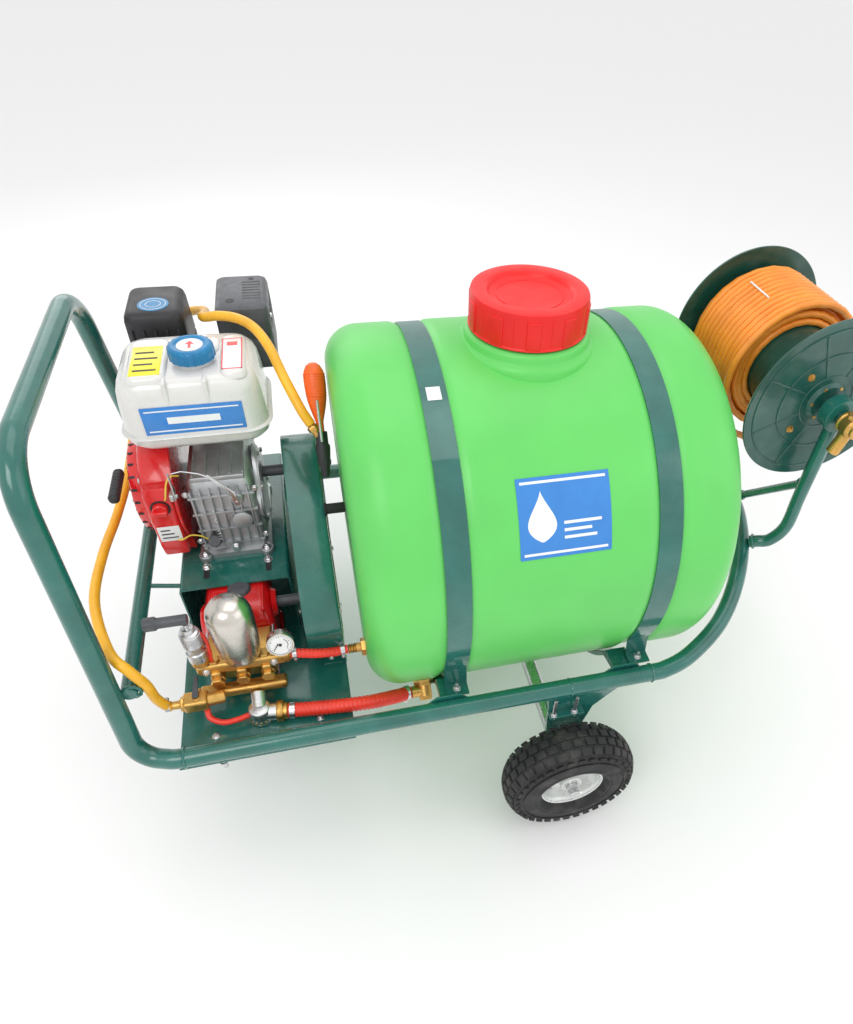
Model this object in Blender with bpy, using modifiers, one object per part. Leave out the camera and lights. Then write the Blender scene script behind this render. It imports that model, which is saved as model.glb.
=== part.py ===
"""Wheeled sprayer cart: a barrel tank, an engine-driven plunger pump and a hose reel on a tube frame.

Metres, +Z up. +X runs from the push handle to the hose reel, -Y is the pump side.
The origin is on the ground under the middle of the cart.
"""
import bpy
import bmesh
import math
from mathutils import Matrix, Vector

for old in list(bpy.data.objects):
    bpy.data.objects.remove(old, do_unlink=True)

# ---------------------------------------------------------------- driving dimensions
GAP = 0.0003                 # clearance between pieces that touch
RUN = 0.0006                 # clearance round a turning shaft

TUBE_R = 0.016               # main frame tube
RAIL_Y, RAIL_Z = 0.350, 0.327
RAIL_START, RAIL_END = -0.590, 0.220
HANDLE_BASE = (-0.659, 0.333)        # x, y of a leg where it leaves the rail's bend
HANDLE_TOP = (-0.667, 0.232, 0.830)
CROSS_X, CROSS_Z, CROSS_R = -0.638, 0.450, 0.0125

WHEEL_X, WHEEL_R, WHEEL_W, TRACK = 0.063, 0.130, 0.085, 0.415
RIM_R, AXLE_R, SPINDLE_R = 0.058, 0.016, 0.010

CASTER_X, CASTER_R, CASTER_W, CASTER_TRAIL = -0.510, 0.050, 0.032, 0.036
CASTER_TOP = 0.160

TANK_X, TANK_Z, TANK_R, TANK_HALF = 0.035, 0.496, 0.326, 0.318
TANK_CORNER, TANK_WALL, TANK_STEPS = 0.060, 0.005, 30
STRAP_OFFSET, STRAP_W, GROOVE = 0.172, 0.040, 0.005
SADDLES = (-0.150, 0.175)
NECK_R, MOUTH_R, NECK_TOP = 0.097, 0.080, 0.853
LID_R, LID_TOP = 0.095, 0.897

TABLE_X0, TABLE_X1, TABLE_Y0, TABLE_Y1, TABLE_Z = -0.580, -0.395, -0.100, 0.270, 0.450
TRAY_TOP = RAIL_Z - TUBE_R - 0.0005

SHAFT_Y, SHAFT_Z = 0.070, 0.556       # engine crankshaft, along X
PUMP_Y, PUMP_Z = -0.120, 0.412        # pump crankshaft, along X
PULLEY_X, PULLEY_W = -0.350, 0.024
ENGINE_PULLEY_R, PUMP_PULLEY_R = 0.040, 0.084

REEL_X, REEL_Z, FLANGE_R, FLANGE_Y = 0.534, 0.738, 0.149, 0.142
REEL_SHAFT_R, ARM_R, ARM_Y, STAY_R = 0.0125, 0.012, 0.180, 0.008
COIL_R0, COIL_R1, COIL_Y0, COIL_Y1 = 0.080, 0.125, -0.035, 0.134

HOSE_R = 0.008
THROTTLE_PIVOT = (-0.548, -0.040, 0.606)
VALVE_PIVOT = (-0.561, -0.277, 0.3875)
REGULATOR_PIVOT = (-0.5465, -0.2345, 0.5235)
TRIGGER_OPEN = 15.0          # degrees that the gun's trigger stands off its grip
GUN_ROOT, GUN_UP, GUN_INLET = (-0.3060, -0.0225, 0.6745), (0.02, 0.50, 0.80), (-0.45, 0.35, 0.82)

# ---------------------------------------------------------------- collections and materials
part_set = bpy.data.collections.new("wheeled_sprayer_cart")
tool_set = bpy.data.collections.new("cutters")
bpy.context.scene.collection.children.link(part_set)
bpy.context.scene.collection.children.link(tool_set)


def material(name, colour, roughness=0.4, metallic=0.0):
    made = bpy.data.materials.new(name)
    made.use_nodes = True
    shader = made.node_tree.nodes["Principled BSDF"]
    shader.inputs["Base Color"].default_value = (*colour, 1.0)
    shader.inputs["Roughness"].default_value = roughness
    shader.inputs["Metallic"].default_value = metallic
    return made


FRAME_GREEN = material("frame_green", (0.012, 0.105, 0.085), 0.3)
REEL_GREEN = material("reel_green", (0.010, 0.070, 0.050), 0.35)
TANK_GREEN = material("tank_green", (0.20, 0.80, 0.15), 0.35)
LID_RED = material("lid_red", (0.80, 0.03, 0.02), 0.35)
ENGINE_RED = material("engine_red", (0.70, 0.01, 0.01), 0.3)
CAST_ALU = material("cast_aluminium", (0.60, 0.61, 0.62), 0.4, 0.9)
BLACK = material("black_plastic", (0.02, 0.02, 0.022), 0.45)
RUBBER = material("rubber", (0.015, 0.015, 0.016), 0.7)
TYRE = material("tyre_rubber", (0.015, 0.015, 0.016), 0.75)
FUEL_WHITE = material("fuel_tank_white", (0.80, 0.78, 0.70), 0.35)
CAP_BLUE = material("cap_blue", (0.02, 0.20, 0.50), 0.35)
BRASS = material("brass", (0.55, 0.33, 0.10), 0.35, 0.9)
STEEL = material("steel", (0.65, 0.65, 0.66), 0.3, 1.0)
HOSE_RED = material("hose_red", (0.80, 0.04, 0.02), 0.4)
HOSE_YELLOW = material("hose_yellow", (0.90, 0.42, 0.03), 0.4)
HOSE_ORANGE = material("hose_orange", (0.90, 0.22, 0.03), 0.4)


# ---------------------------------------------------------------- modelling helpers
def place(mesh, name, paint, at=(0, 0, 0), turn=None):
    piece = bpy.data.objects.new(name, mesh)
    rotation = turn.to_4x4() if turn else Matrix.Identity(4)
    piece.matrix_world = Matrix.Translation(at) @ rotation
    part_set.objects.link(piece)
    if paint:
        mesh.materials.append(paint)
    return piece


def finish_mesh(bm, name):
    mesh = bpy.data.meshes.new(name)
    bm.to_mesh(mesh)
    bm.free()
    mesh.shade_smooth()
    mesh.set_sharp_from_angle(angle=math.radians(35))
    return mesh


AXIS_TURN = {"Z": None, "X": Matrix.Rotation(math.pi / 2, 3, "Y"), "Y": Matrix.Rotation(-math.pi / 2, 3, "X")}


def box(name, low, high, paint, bevel=0.0, segments=1):
    """A box between two corners, its edges rounded by a Bevel modifier."""
    low, high = Vector(low), Vector(high)
    bm = bmesh.new()
    bmesh.ops.create_cube(bm, size=1.0)
    bmesh.ops.scale(bm, vec=high - low, verts=bm.verts)
    piece = place(finish_mesh(bm, name), name, paint, (low + high) / 2)
    if bevel:
        rounding = piece.modifiers.new("round", "BEVEL")
        rounding.width = bevel
        rounding.segments = segments
    return piece


def rod(name, radius, start, end, paint, sides=16, tip_radius=None):
    """A straight bar or cone from one point to another."""
    start, end = Vector(start), Vector(end)
    along = end - start
    bm = bmesh.new()
    bmesh.ops.create_cone(bm, cap_ends=True, segments=sides, radius1=radius,
                          radius2=radius if tip_radius is None else tip_radius, depth=along.length)
    turn = Vector((0, 0, 1)).rotation_difference(along).to_matrix()
    return place(finish_mesh(bm, name), name, paint, (start + end) / 2, turn)


def turned(name, profile, at, axis, paint, steps=32, half_step=False):
    """A turned piece: profile points (radius, height) run down its outer side from the top."""
    bm = bmesh.new()
    verts = [bm.verts.new((r, 0, h)) for r, h in profile]
    for a, b in zip(verts, verts[1:]):
        bm.edges.new((a, b))
    if profile[0][0] > 0 and profile[-1][0] > 0:
        bm.edges.new((verts[-1], verts[0]))
    mesh = bpy.data.meshes.new(name)
    bm.to_mesh(mesh)
    bm.free()
    turn = AXIS_TURN[axis] or Matrix.Identity(3)
    if half_step:
        turn = turn @ Matrix.Rotation(math.pi / steps, 3, "Z")
    piece = place(mesh, name, paint, at, turn)
    screw = piece.modifiers.new("turn", "SCREW")
    screw.steps = screw.render_steps = steps
    screw.use_merge_vertices = True
    screw.merge_threshold = 0.00001
    screw.use_smooth_shade = True
    return piece


def rounded_path(points, radii, steps=4):
    """The corners of a bent tube: each inner point is replaced by an arc of its radius."""
    points = [Vector(p) for p in points]
    path = [points[0]]
    for before, corner, after, radius in zip(points, points[1:], points[2:], radii):
        u, v = (before - corner).normalized(), (after - corner).normalized()
        half = u.angle(v) / 2
        centre = corner + (u + v).normalized() * radius / math.sin(half)
        start, end = corner + u * radius / math.tan(half), corner + v * radius / math.tan(half)
        for k in range(steps + 1):
            ray = start.lerp(end, k / steps) - centre
            path.append(centre + ray.normalized() * radius)
    path.append(points[-1])
    return path


def smooth_path(points, per_span=4):
    """A Catmull-Rom curve through the points of a hose or a bent rail, its first and last spans straight."""
    points = [Vector(p) for p in points]
    path = [points[0]]
    for a, b, c, d in zip(points, points[1:], points[2:], points[3:]):
        for k in range(per_span):
            t = k / per_span
            path.append(0.5 * (2 * b + (c - a) * t + (2 * a - 5 * b + 4 * c - d) * t * t
                               + (3 * b - a - 3 * c + d) * t ** 3))
    return path + points[-2:]


def tube(name, path, radius, paint, resolution=3):
    """A bent bar, tube or hose: a curve with a round bevel and filled ends."""
    curve = bpy.data.curves.new(name, "CURVE")
    curve.dimensions = "3D"
    curve.bevel_depth = radius
    curve.bevel_resolution = resolution
    curve.use_fill_caps = True
    spline = curve.splines.new("POLY")
    spline.points.add(len(path) - 1)
    for point, co in zip(spline.points, path):
        point.co = (*co, 1.0)
    piece = bpy.data.objects.new(name, curve)
    part_set.objects.link(piece)
    curve.materials.append(paint)
    return piece


def outline(name, points, thickness, paint, at, axis):
    """A flat plate: its outline is drawn across the axis and it is half a thickness each way."""
    curve = bpy.data.curves.new(name, "CURVE")
    curve.dimensions = "2D"
    curve.fill_mode = "BOTH"
    curve.extrude = thickness / 2
    spline = curve.splines.new("POLY")
    spline.points.add(len(points) - 1)
    for point, (a, b) in zip(spline.points, points):
        point.co = (a, b, 0.0, 1.0)
    spline.use_cyclic_u = True
    piece = bpy.data.objects.new(name, curve)
    turns = {"X": Matrix(((0, 0, 1), (1, 0, 0), (0, 1, 0))), "Y": Matrix(((1, 0, 0), (0, 0, -1), (0, 1, 0))),
             "Z": Matrix.Identity(3)}
    piece.matrix_world = Matrix.Translation(at) @ turns[axis].to_4x4()
    part_set.objects.link(piece)
    curve.materials.append(paint)
    return piece


def as_mesh(piece):
    """The same piece as a mesh with welded caps, so that it can be cut or joined."""
    bpy.context.view_layer.update()
    ready = piece.evaluated_get(bpy.context.evaluated_depsgraph_get())
    mesh = bpy.data.meshes.new_from_object(ready)
    bm = bmesh.new()
    bm.from_mesh(mesh)
    bmesh.ops.remove_doubles(bm, verts=bm.verts, dist=0.00001)
    bm.to_mesh(mesh)
    bm.free()
    name, where = piece.name, piece.matrix_world.copy()
    bpy.data.objects.remove(piece, do_unlink=True)
    made = bpy.data.objects.new(name, mesh)
    made.matrix_world = where
    part_set.objects.link(made)
    return made


def combine(target, tool, operation):
    change = target.modifiers.new(operation.lower(), "BOOLEAN")
    change.operation = operation
    change.object = tool
    part_set.objects.unlink(tool)
    tool_set.objects.link(tool)
    tool.hide_render = True
    tool.display_type = "WIRE"
    return target


def join(target, *tools):
    for tool in tools:
        combine(target, tool, "UNION")
    return target


def cut(target, *tools):
    for tool in tools:
        combine(target, tool, "DIFFERENCE")
    return target


def arc(radius, start, end, steps, centre=(0.0, 0.0)):
    """Points on an arc, angles in degrees."""
    angles = [math.radians(start + (end - start) * k / steps) for k in range(steps + 1)]
    return [(centre[0] + radius * math.cos(a), centre[1] + radius * math.sin(a)) for a in angles]


def on_axis(piece, pivot):
    """Move a mesh piece's origin to its joint's axis without moving the piece."""
    offset = piece.matrix_world.inverted() @ Vector(pivot)
    piece.data.transform(Matrix.Translation(-offset))
    piece.matrix_world = piece.matrix_world @ Matrix.Translation(offset)
    return piece


# ---------------------------------------------------------------- frame
def build_frame():
    base_x, base_y = HANDLE_BASE
    top_x, top_y, top_z = HANDLE_TOP
    near_half = [(RAIL_START, -RAIL_Y, RAIL_Z), (RAIL_START - 0.013, -RAIL_Y, RAIL_Z),
                 (base_x, -base_y, RAIL_Z), (top_x, -top_y, top_z)]
    corners = near_half + [(x, -y, z) for x, y, z in reversed(near_half)]
    bends = (0.05, 0.04, 0.085, 0.085, 0.04, 0.05)
    handle = as_mesh(tube("push_handle", rounded_path(corners, bends, 4), TUBE_R, FRAME_GREEN))
    leg_y = 0.303
    cross_tube = rod("cross_tube", CROSS_R, (CROSS_X, -leg_y, CROSS_Z), (CROSS_X, leg_y, CROSS_Z), None)
    brace_y = -0.075
    brace = rod("table_brace", 0.004, (TABLE_X0 - 0.0015, brace_y, TABLE_Z - 0.012), (CROSS_X, brace_y, CROSS_Z),
                None, 8)
    join(handle, cross_tube, brace)

    for side, name in ((-1, "rail_near"), (1, "rail_far")):
        tube(name, [(RAIL_START + GAP, side * RAIL_Y, RAIL_Z), (RAIL_END, side * RAIL_Y, RAIL_Z)],
             TUBE_R, FRAME_GREEN)

    half_nose = [(RAIL_END + GAP, 0.350, 0.327), (0.240, 0.350, 0.327), (0.300, 0.336, 0.340), (0.380, 0.288, 0.365),
                 (0.445, 0.213, 0.398), (0.497, 0.115, 0.420)]
    nose = [(x, -y, z) for x, y, z in half_nose] + [(0.528, 0.0, 0.423)] + half_nose[::-1]
    tube("nose_loop", smooth_path(nose, 3), TUBE_R, FRAME_GREEN)

    cradle_r, bar = TANK_R + 0.004, 0.008
    tab_z, tab_y = RAIL_Z - TANK_Z, RAIL_Y - TUBE_R - GAP
    reach = 31.0
    inner = arc(cradle_r, -180 + reach, -reach, 20)
    outer = arc(cradle_r + bar, -reach - 3, -180 + reach + 3, 20)
    cradle = (inner + [(tab_y, tab_z), (tab_y, tab_z - 0.010)] + outer
              + [(-tab_y, tab_z - 0.010), (-tab_y, tab_z)])
    for x, name in zip(SADDLES, ("tank_saddle_rear", "tank_saddle_front")):
        outline(name, cradle, 0.038, FRAME_GREEN, (x, 0, TANK_Z), "X")


def build_engine_table():
    sheet = 0.003
    inside = [(TABLE_X0 + sheet, TRAY_TOP + GAP), (TABLE_X0 + sheet, TABLE_Z - sheet),
              (TABLE_X1 - sheet, TABLE_Z - sheet), (TABLE_X1 - sheet, TRAY_TOP + GAP)]
    outside = [(TABLE_X1, TRAY_TOP + GAP), (TABLE_X1, TABLE_Z), (TABLE_X0, TABLE_Z),
               (TABLE_X0, TRAY_TOP + GAP)]
    depth = TABLE_Y1 - TABLE_Y0
    outline("engine_table", inside + outside, depth, FRAME_GREEN, (0, (TABLE_Y0 + TABLE_Y1) / 2, 0), "Y")

    tray_y = RAIL_Y + 0.010
    lip = 0.004
    tray = box("base_tray", (-0.600, -tray_y, TRAY_TOP - lip), (-0.320, tray_y, TRAY_TOP), FRAME_GREEN)
    post = rod("caster_post", 0.019, (CASTER_X, 0, CASTER_TOP), (CASTER_X, 0, TRAY_TOP - 0.002), FRAME_GREEN)
    post_plate = box("caster_plate", (CASTER_X - 0.035, -0.035, CASTER_TOP),
                     (CASTER_X + 0.035, 0.035, CASTER_TOP + 0.005), FRAME_GREEN)
    join(tray, post, post_plate)


# ---------------------------------------------------------------- wheels
def build_wheels():
    steps = 36
    outer = WHEEL_R / math.cos(math.pi / steps)
    half = WHEEL_W / 2
    tread = [(outer * 0.955, half * 0.80), (outer, half * 0.50), (outer, -half * 0.50),
             (outer * 0.955, -half * 0.80)]
    tyre = [(RIM_R, half * 0.66), (RIM_R + 0.014, half * 0.90), (RIM_R + 0.038, half)] + tread + [
        (RIM_R + 0.038, -half), (RIM_R + 0.014, -half * 0.90), (RIM_R, -half * 0.66)]
    seat = RIM_R - GAP
    dish = 0.012
    rim = [(seat, half * 0.66), (seat, -half * 0.66), (seat - 0.003, -half * 0.66), (seat - 0.008, -dish),
           (0.020, -dish * 0.6), (0.020, -half * 0.75), (SPINDLE_R + RUN, -half * 0.75),
           (SPINDLE_R + RUN, half * 0.75), (0.020, half * 0.75), (0.020, dish * 0.2),
           (seat - 0.008, -dish * 0.4), (seat - 0.003, half * 0.66)]
    for side, name in ((-1, "near"), (1, "far")):
        hub = (WHEEL_X, side * TRACK, WHEEL_R)
        turned("tyre_" + name, tyre, hub, "Y", TYRE, steps, True)
        flipped = rim if side > 0 else [(r, -h) for r, h in reversed(rim)]
        turned("rim_" + name, flipped, hub, "Y", STEEL, 24)

    shoulder, hub_end = 0.366, TRACK + half * 0.75 + GAP
    nut = hub_end + 0.010
    half_axle = [(SPINDLE_R, nut + 0.004), (0.015, nut), (0.015, hub_end), (SPINDLE_R, hub_end),
                 (SPINDLE_R, shoulder), (AXLE_R, shoulder)]
    axle = [(0, nut + 0.004)] + half_axle + [(r, -h) for r, h in reversed(half_axle)] + [(0, -nut - 0.004)]
    turned("axle", axle, (WHEEL_X, 0, WHEEL_R), "Y", STEEL, 16)

    top = RAIL_Z - TUBE_R - GAP
    bracket = [(-0.040, top), (0.100, top), (0.094, top - 0.010), (0.052, top - 0.055),
               (0.030, WHEEL_R + 0.030)] + arc(0.028, 20, -200, 10, (0, WHEEL_R)) + [
        (-0.032, WHEEL_R + 0.060), (-0.036, top - 0.040)]
    for side, name in ((-1, "axle_bracket_near"), (1, "axle_bracket_far")):
        plate = as_mesh(outline(name, bracket, 0.006, FRAME_GREEN, (WHEEL_X, side * RAIL_Y, 0), "Y"))
        hole = rod(name + "_hole", AXLE_R + GAP, (WHEEL_X, side * RAIL_Y - 0.02, WHEEL_R),
                   (WHEEL_X, side * RAIL_Y + 0.02, WHEEL_R), None, 16)
        cut(plate, hole)


def build_caster():
    wheel = [(CASTER_R / math.cos(math.pi / 24), CASTER_W / 2 - 0.004),
             (CASTER_R / math.cos(math.pi / 24), -CASTER_W / 2 + 0.004), (CASTER_R - 0.004, -CASTER_W / 2),
             (0.0056, -CASTER_W / 2), (0.0056, CASTER_W / 2), (CASTER_R - 0.004, CASTER_W / 2)]
    axle_x = CASTER_X - CASTER_TRAIL
    turned("caster_wheel", wheel, (axle_x, 0, CASTER_R), "Y", RUBBER, 24, True)

    crown = CASTER_TOP - 0.001
    cheek = 0.003
    fork = turned("caster_fork", [(0, crown), (0.026, crown), (0.026, crown - 0.016), (0, crown - 0.016)],
                  (CASTER_X, 0, 0), "Z", STEEL, 24)
    inside = CASTER_W / 2 + 0.003
    cheeks = []
    for side in (-1, 1):
        shape = [(-0.022, crown - 0.010), (0.024, crown - 0.010), (-CASTER_TRAIL + 0.012, CASTER_R - 0.010),
                 (-CASTER_TRAIL - 0.012, CASTER_R - 0.010)]
        cheeks.append(as_mesh(outline("fork_cheek", shape, cheek, None,
                                      (CASTER_X, side * (inside + cheek / 2), 0), "Y")))
    bridge = box("fork_bridge", (CASTER_X - 0.022, -inside - cheek / 2, crown - 0.018),
                 (CASTER_X + 0.022, inside + cheek / 2, crown - 0.010), None)
    pin = rod("fork_pin", 0.005, (axle_x, -inside - 0.006, CASTER_R), (axle_x, inside + 0.006, CASTER_R),
              None, 12)
    join(fork, bridge, *cheeks, pin)


# ---------------------------------------------------------------- tank
def build_tank():
    edge = TANK_HALF - TANK_CORNER
    groove_half = STRAP_W / 2 + 0.004
    low, high = STRAP_OFFSET - groove_half, STRAP_OFFSET + groove_half
    floor_r = TANK_R - GROOVE

    def wall(inset):
        corner = arc(TANK_CORNER - inset, 90, 0, 3, (edge, TANK_R - TANK_CORNER))
        half = [(TANK_R - inset, low - 0.006), (floor_r - inset, low), (floor_r - inset, high),
                (TANK_R - inset, high + 0.006)] + [(r, h) for h, r in corner]
        right = [(0, TANK_HALF - inset)] + half[::-1]
        return right + [(r, -h) for r, h in reversed(right)]

    shell = turned("tank_shell", wall(0.0), (TANK_X, 0, TANK_Z), "X", TANK_GREEN, TANK_STEPS, True)
    neck = turned("neck", [(0, NECK_TOP), (NECK_R - 0.012, NECK_TOP), (NECK_R, NECK_TOP - 0.030),
                           (NECK_R + 0.004, 0.770), (0, 0.770)], (TANK_X, 0, 0), "Z", None, 28)
    hollow = turned("hollow", wall(TANK_WALL), (TANK_X, 0, TANK_Z), "X", None, TANK_STEPS, True)
    mouth = rod("mouth", MOUTH_R, (TANK_X, 0, 0.700), (TANK_X, 0, 0.900), None, 28)
    join(shell, neck)
    cut(shell, hollow, mouth)

    ring = MOUTH_R - GAP - 0.0002
    basket = [(ring + 0.006, NECK_TOP + GAP + 0.002), (ring + 0.006, NECK_TOP + GAP), (ring, NECK_TOP + GAP),
              (ring - 0.010, 0.762), (0, 0.762), (0, 0.764), (ring - 0.0125, 0.764),
              (ring - 0.003, NECK_TOP + 0.002 + GAP)]
    turned("filler_strainer", basket, (TANK_X, 0, 0), "Z", BLACK, 28)

    skirt = 0.004
    under = LID_TOP - 0.018
    lid = [(0, LID_TOP - 0.010), (LID_R * 0.66, LID_TOP - 0.010), (LID_R * 0.70, LID_TOP),
           (LID_R - 0.008, LID_TOP), (LID_R, LID_TOP - 0.008), (LID_R, NECK_TOP - 0.012),
           (LID_R - skirt, NECK_TOP - 0.012), (LID_R - skirt, under), (0, under)]
    turned("tank_lid", lid, (TANK_X, 0, 0), "Z", LID_RED, 36)

    strap_r = TANK_R - GROOVE + 0.0006
    thick, low_angle = 0.0025, -24.0
    inner = arc(strap_r, 180 - low_angle, low_angle, 36)
    outer = arc(strap_r + thick, low_angle, 180 - low_angle, 36)
    foot_y, foot_z = 0.326, RAIL_Z - TANK_Z + 0.0006
    band = inner + [(foot_y - 0.026, foot_z), (foot_y, foot_z), (foot_y, foot_z + thick),
                    (foot_y - 0.024, foot_z + thick)] + outer + [
        (-foot_y + 0.024, foot_z + thick), (-foot_y, foot_z + thick), (-foot_y, foot_z),
        (-foot_y + 0.026, foot_z)]
    for side, name in ((-1, "tank_strap_rear"), (1, "tank_strap_front")):
        outline(name, band, STRAP_W, FRAME_GREEN, (TANK_X + side * STRAP_OFFSET, 0, TANK_Z), "X")

    end_x = TANK_X - TANK_HALF
    return_at = (-0.230, 0.385)
    rod("return_fitting", 0.009, (end_x - GAP, *return_at), (end_x - 0.030, *return_at), BRASS, 12)
    sump_x = -0.187
    down = Vector((0, -0.767, -0.6416))
    root = Vector((sump_x, 0, TANK_Z)) + down * (TANK_R + 0.0006)
    barb_at = root + down * 0.020
    sump = rod("sump_fitting", 0.013, root, root + down * 0.032, BRASS, 12)
    join(sump, rod("sump_barb", 0.011, barb_at, barb_at + Vector((-0.025, 0, 0)), None, 12))
    return return_at, barb_at + Vector((-0.0255, 0, 0))


# ---------------------------------------------------------------- engine
def build_engine():
    block = box("engine_block", (-0.545, -0.030, TABLE_Z + GAP), (-0.420, 0.155, 0.615), CAST_ALU, 0.012)
    tilt = Matrix.Rotation(math.radians(25), 3, "X")
    barrel = box("barrel", (-0.050, 0.060, -0.046), (0.050, 0.205, 0.046), None)
    barrel.matrix_world = Matrix.Translation((-0.482, SHAFT_Y, SHAFT_Z)) @ tilt.to_4x4() @ barrel.matrix_world
    carburettor = box("carburettor", (-0.562, 0.195, 0.570), (-0.528, 0.250, 0.6895), None, 0.004)
    join(block, barrel, carburettor)

    cover = [(0, -0.0505), (0.087, -0.0505), (0.102, -0.0440), (0.102, 0), (0.104, 0), (0.104, -0.045),
             (0.088, -0.0525), (0, -0.0525)]
    housing = turned("fan_cover", cover, (-0.5505, SHAFT_Y, SHAFT_Z), "X", ENGINE_RED, 28)
    join(housing, box("switch_boss", (-0.598, -0.0400, 0.562), (-0.556, -0.0235, 0.608), None))
    starter = [(0, -0.0003), (0.080, -0.0003), (0.076, -0.020), (0.030, -0.026), (0, -0.026)]
    turned("recoil_starter", starter, (-0.603, SHAFT_Y, SHAFT_Z), "X", ENGINE_RED, 28)
    box("starter_grip", (-0.648, -0.040, 0.600), (-0.6305, 0.040, 0.618), BLACK, 0.005)

    low, high = (-0.608, -0.012, 0.668), (-0.378, 0.172, 0.790)
    fuel = box("fuel_tank", low, high, FUEL_WHITE, 0.022, 2)
    wall = 0.004
    inside = box("fuel_space", [v + wall for v in low], [v - wall for v in high], None, 0.018, 2)
    cap_x, cap_y = -0.480, 0.060
    throat = rod("fuel_neck_hole", 0.020, (cap_x, cap_y, 0.760), (cap_x, cap_y, 0.830), None, 16)
    cut(fuel, inside, throat)
    cap = [(0, 0.814), (0.030, 0.814), (0.034, 0.809), (0.034, 0.791), (0.024, 0.791), (0, 0.791)]
    turned("fuel_cap", cap, (cap_x, cap_y, 0), "Z", CAP_BLUE, 24)

    for name, low, high, bevel in (("air_cleaner", (-0.597, 0.190, 0.690), (-0.502, 0.312, 0.800), 0.014),
                                   ("muffler", (-0.453, 0.196, 0.688), (-0.363, 0.335, 0.800), 0.012)):
        shell = box(name, low, high, BLACK, bevel, 2)
        skin = 0.0025
        space = box(name + "_space", (low[0] + 0.016, low[1] + 0.016, low[2] - 0.01),
                    [v - bevel / 2 - skin for v in high], None)
        cut(shell, space)
    lever = box("throttle_lever", (-0.5495, -0.048, 0.600), (-0.5465, -0.032, 0.652), STEEL)
    on_axis(lever, THROTTLE_PIVOT)
    switch = box("stop_switch", (-0.590, -0.058, 0.576), (-0.562, -0.0403, 0.594), BLACK, 0.003)
    on_axis(switch, (-0.576, -0.0403, 0.585))


def pulley(name, radius, shaft_r, length, at, paint):
    half = PULLEY_W / 2
    rim = [(0, half), (radius, half), (radius, half - 0.004), (radius - 0.010, 0.003), (radius - 0.010, -0.003),
           (radius, -half + 0.004), (radius, -half), (shaft_r, -half), (shaft_r, -length), (0, -length)]
    return turned(name, rim, at, "X", paint, 28)


def build_drive():
    engine_at, pump_at = (PULLEY_X, SHAFT_Y, SHAFT_Z), (PULLEY_X, PUMP_Y, PUMP_Z)
    pulley("engine_pulley", ENGINE_PULLEY_R, 0.010, PULLEY_X + 0.420 - 0.0005, engine_at, STEEL)
    pulley("pump_pulley", PUMP_PULLEY_R, 0.010, PULLEY_X + 0.430 - 0.0005, pump_at, STEEL)

    span = Vector((PUMP_Y - SHAFT_Y, PUMP_Z - SHAFT_Z))
    heading = math.degrees(math.atan2(span.y, span.x))

    def loop(engine_r, pump_r, steps=10):
        lean = math.degrees(math.asin((pump_r - engine_r) / span.length))
        upper = arc(pump_r, heading + 90 + lean, heading - 90 - lean, steps * 2, (PUMP_Y, PUMP_Z))
        lower = arc(engine_r, heading - 90 - lean, heading - 270 + lean, steps, (SHAFT_Y, SHAFT_Z))
        return upper + lower

    belt_out = 0.001
    belt = as_mesh(outline("v_belt", loop(ENGINE_PULLEY_R + belt_out, PUMP_PULLEY_R + belt_out), 0.006, RUBBER,
                           (PULLEY_X, 0, 0), "X"))
    gap = 0.0092
    inner = as_mesh(outline("belt_inner", loop(ENGINE_PULLEY_R - gap, PUMP_PULLEY_R - gap), 0.020, None,
                            (PULLEY_X, 0, 0), "X"))
    cut(belt, inner)

    guard_half, sheet = 0.030, 0.002
    guard = as_mesh(outline("belt_guard", loop(0.060, 0.100), 2 * guard_half, FRAME_GREEN,
                            (PULLEY_X + 0.002, 0, 0), "X"))
    space = as_mesh(outline("guard_space", loop(0.060 - sheet, 0.100 - sheet), 2 * guard_half, None,
                            (PULLEY_X + 0.002 - sheet, 0, 0), "X"))
    buffer_x = PULLEY_X + 0.002 + guard_half
    buffer = rod("guard_buffer", 0.009, (buffer_x - 0.001, -0.060, 0.560), (TANK_X - TANK_HALF - 0.0005, -0.060, 0.560),
                 None, 12)
    foot = box("guard_foot", (buffer_x - 0.0035, -0.200, TRAY_TOP + GAP), (buffer_x - 0.0005, -0.060, 0.330), None)
    cut(guard, space)
    join(guard, buffer, foot)


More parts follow.
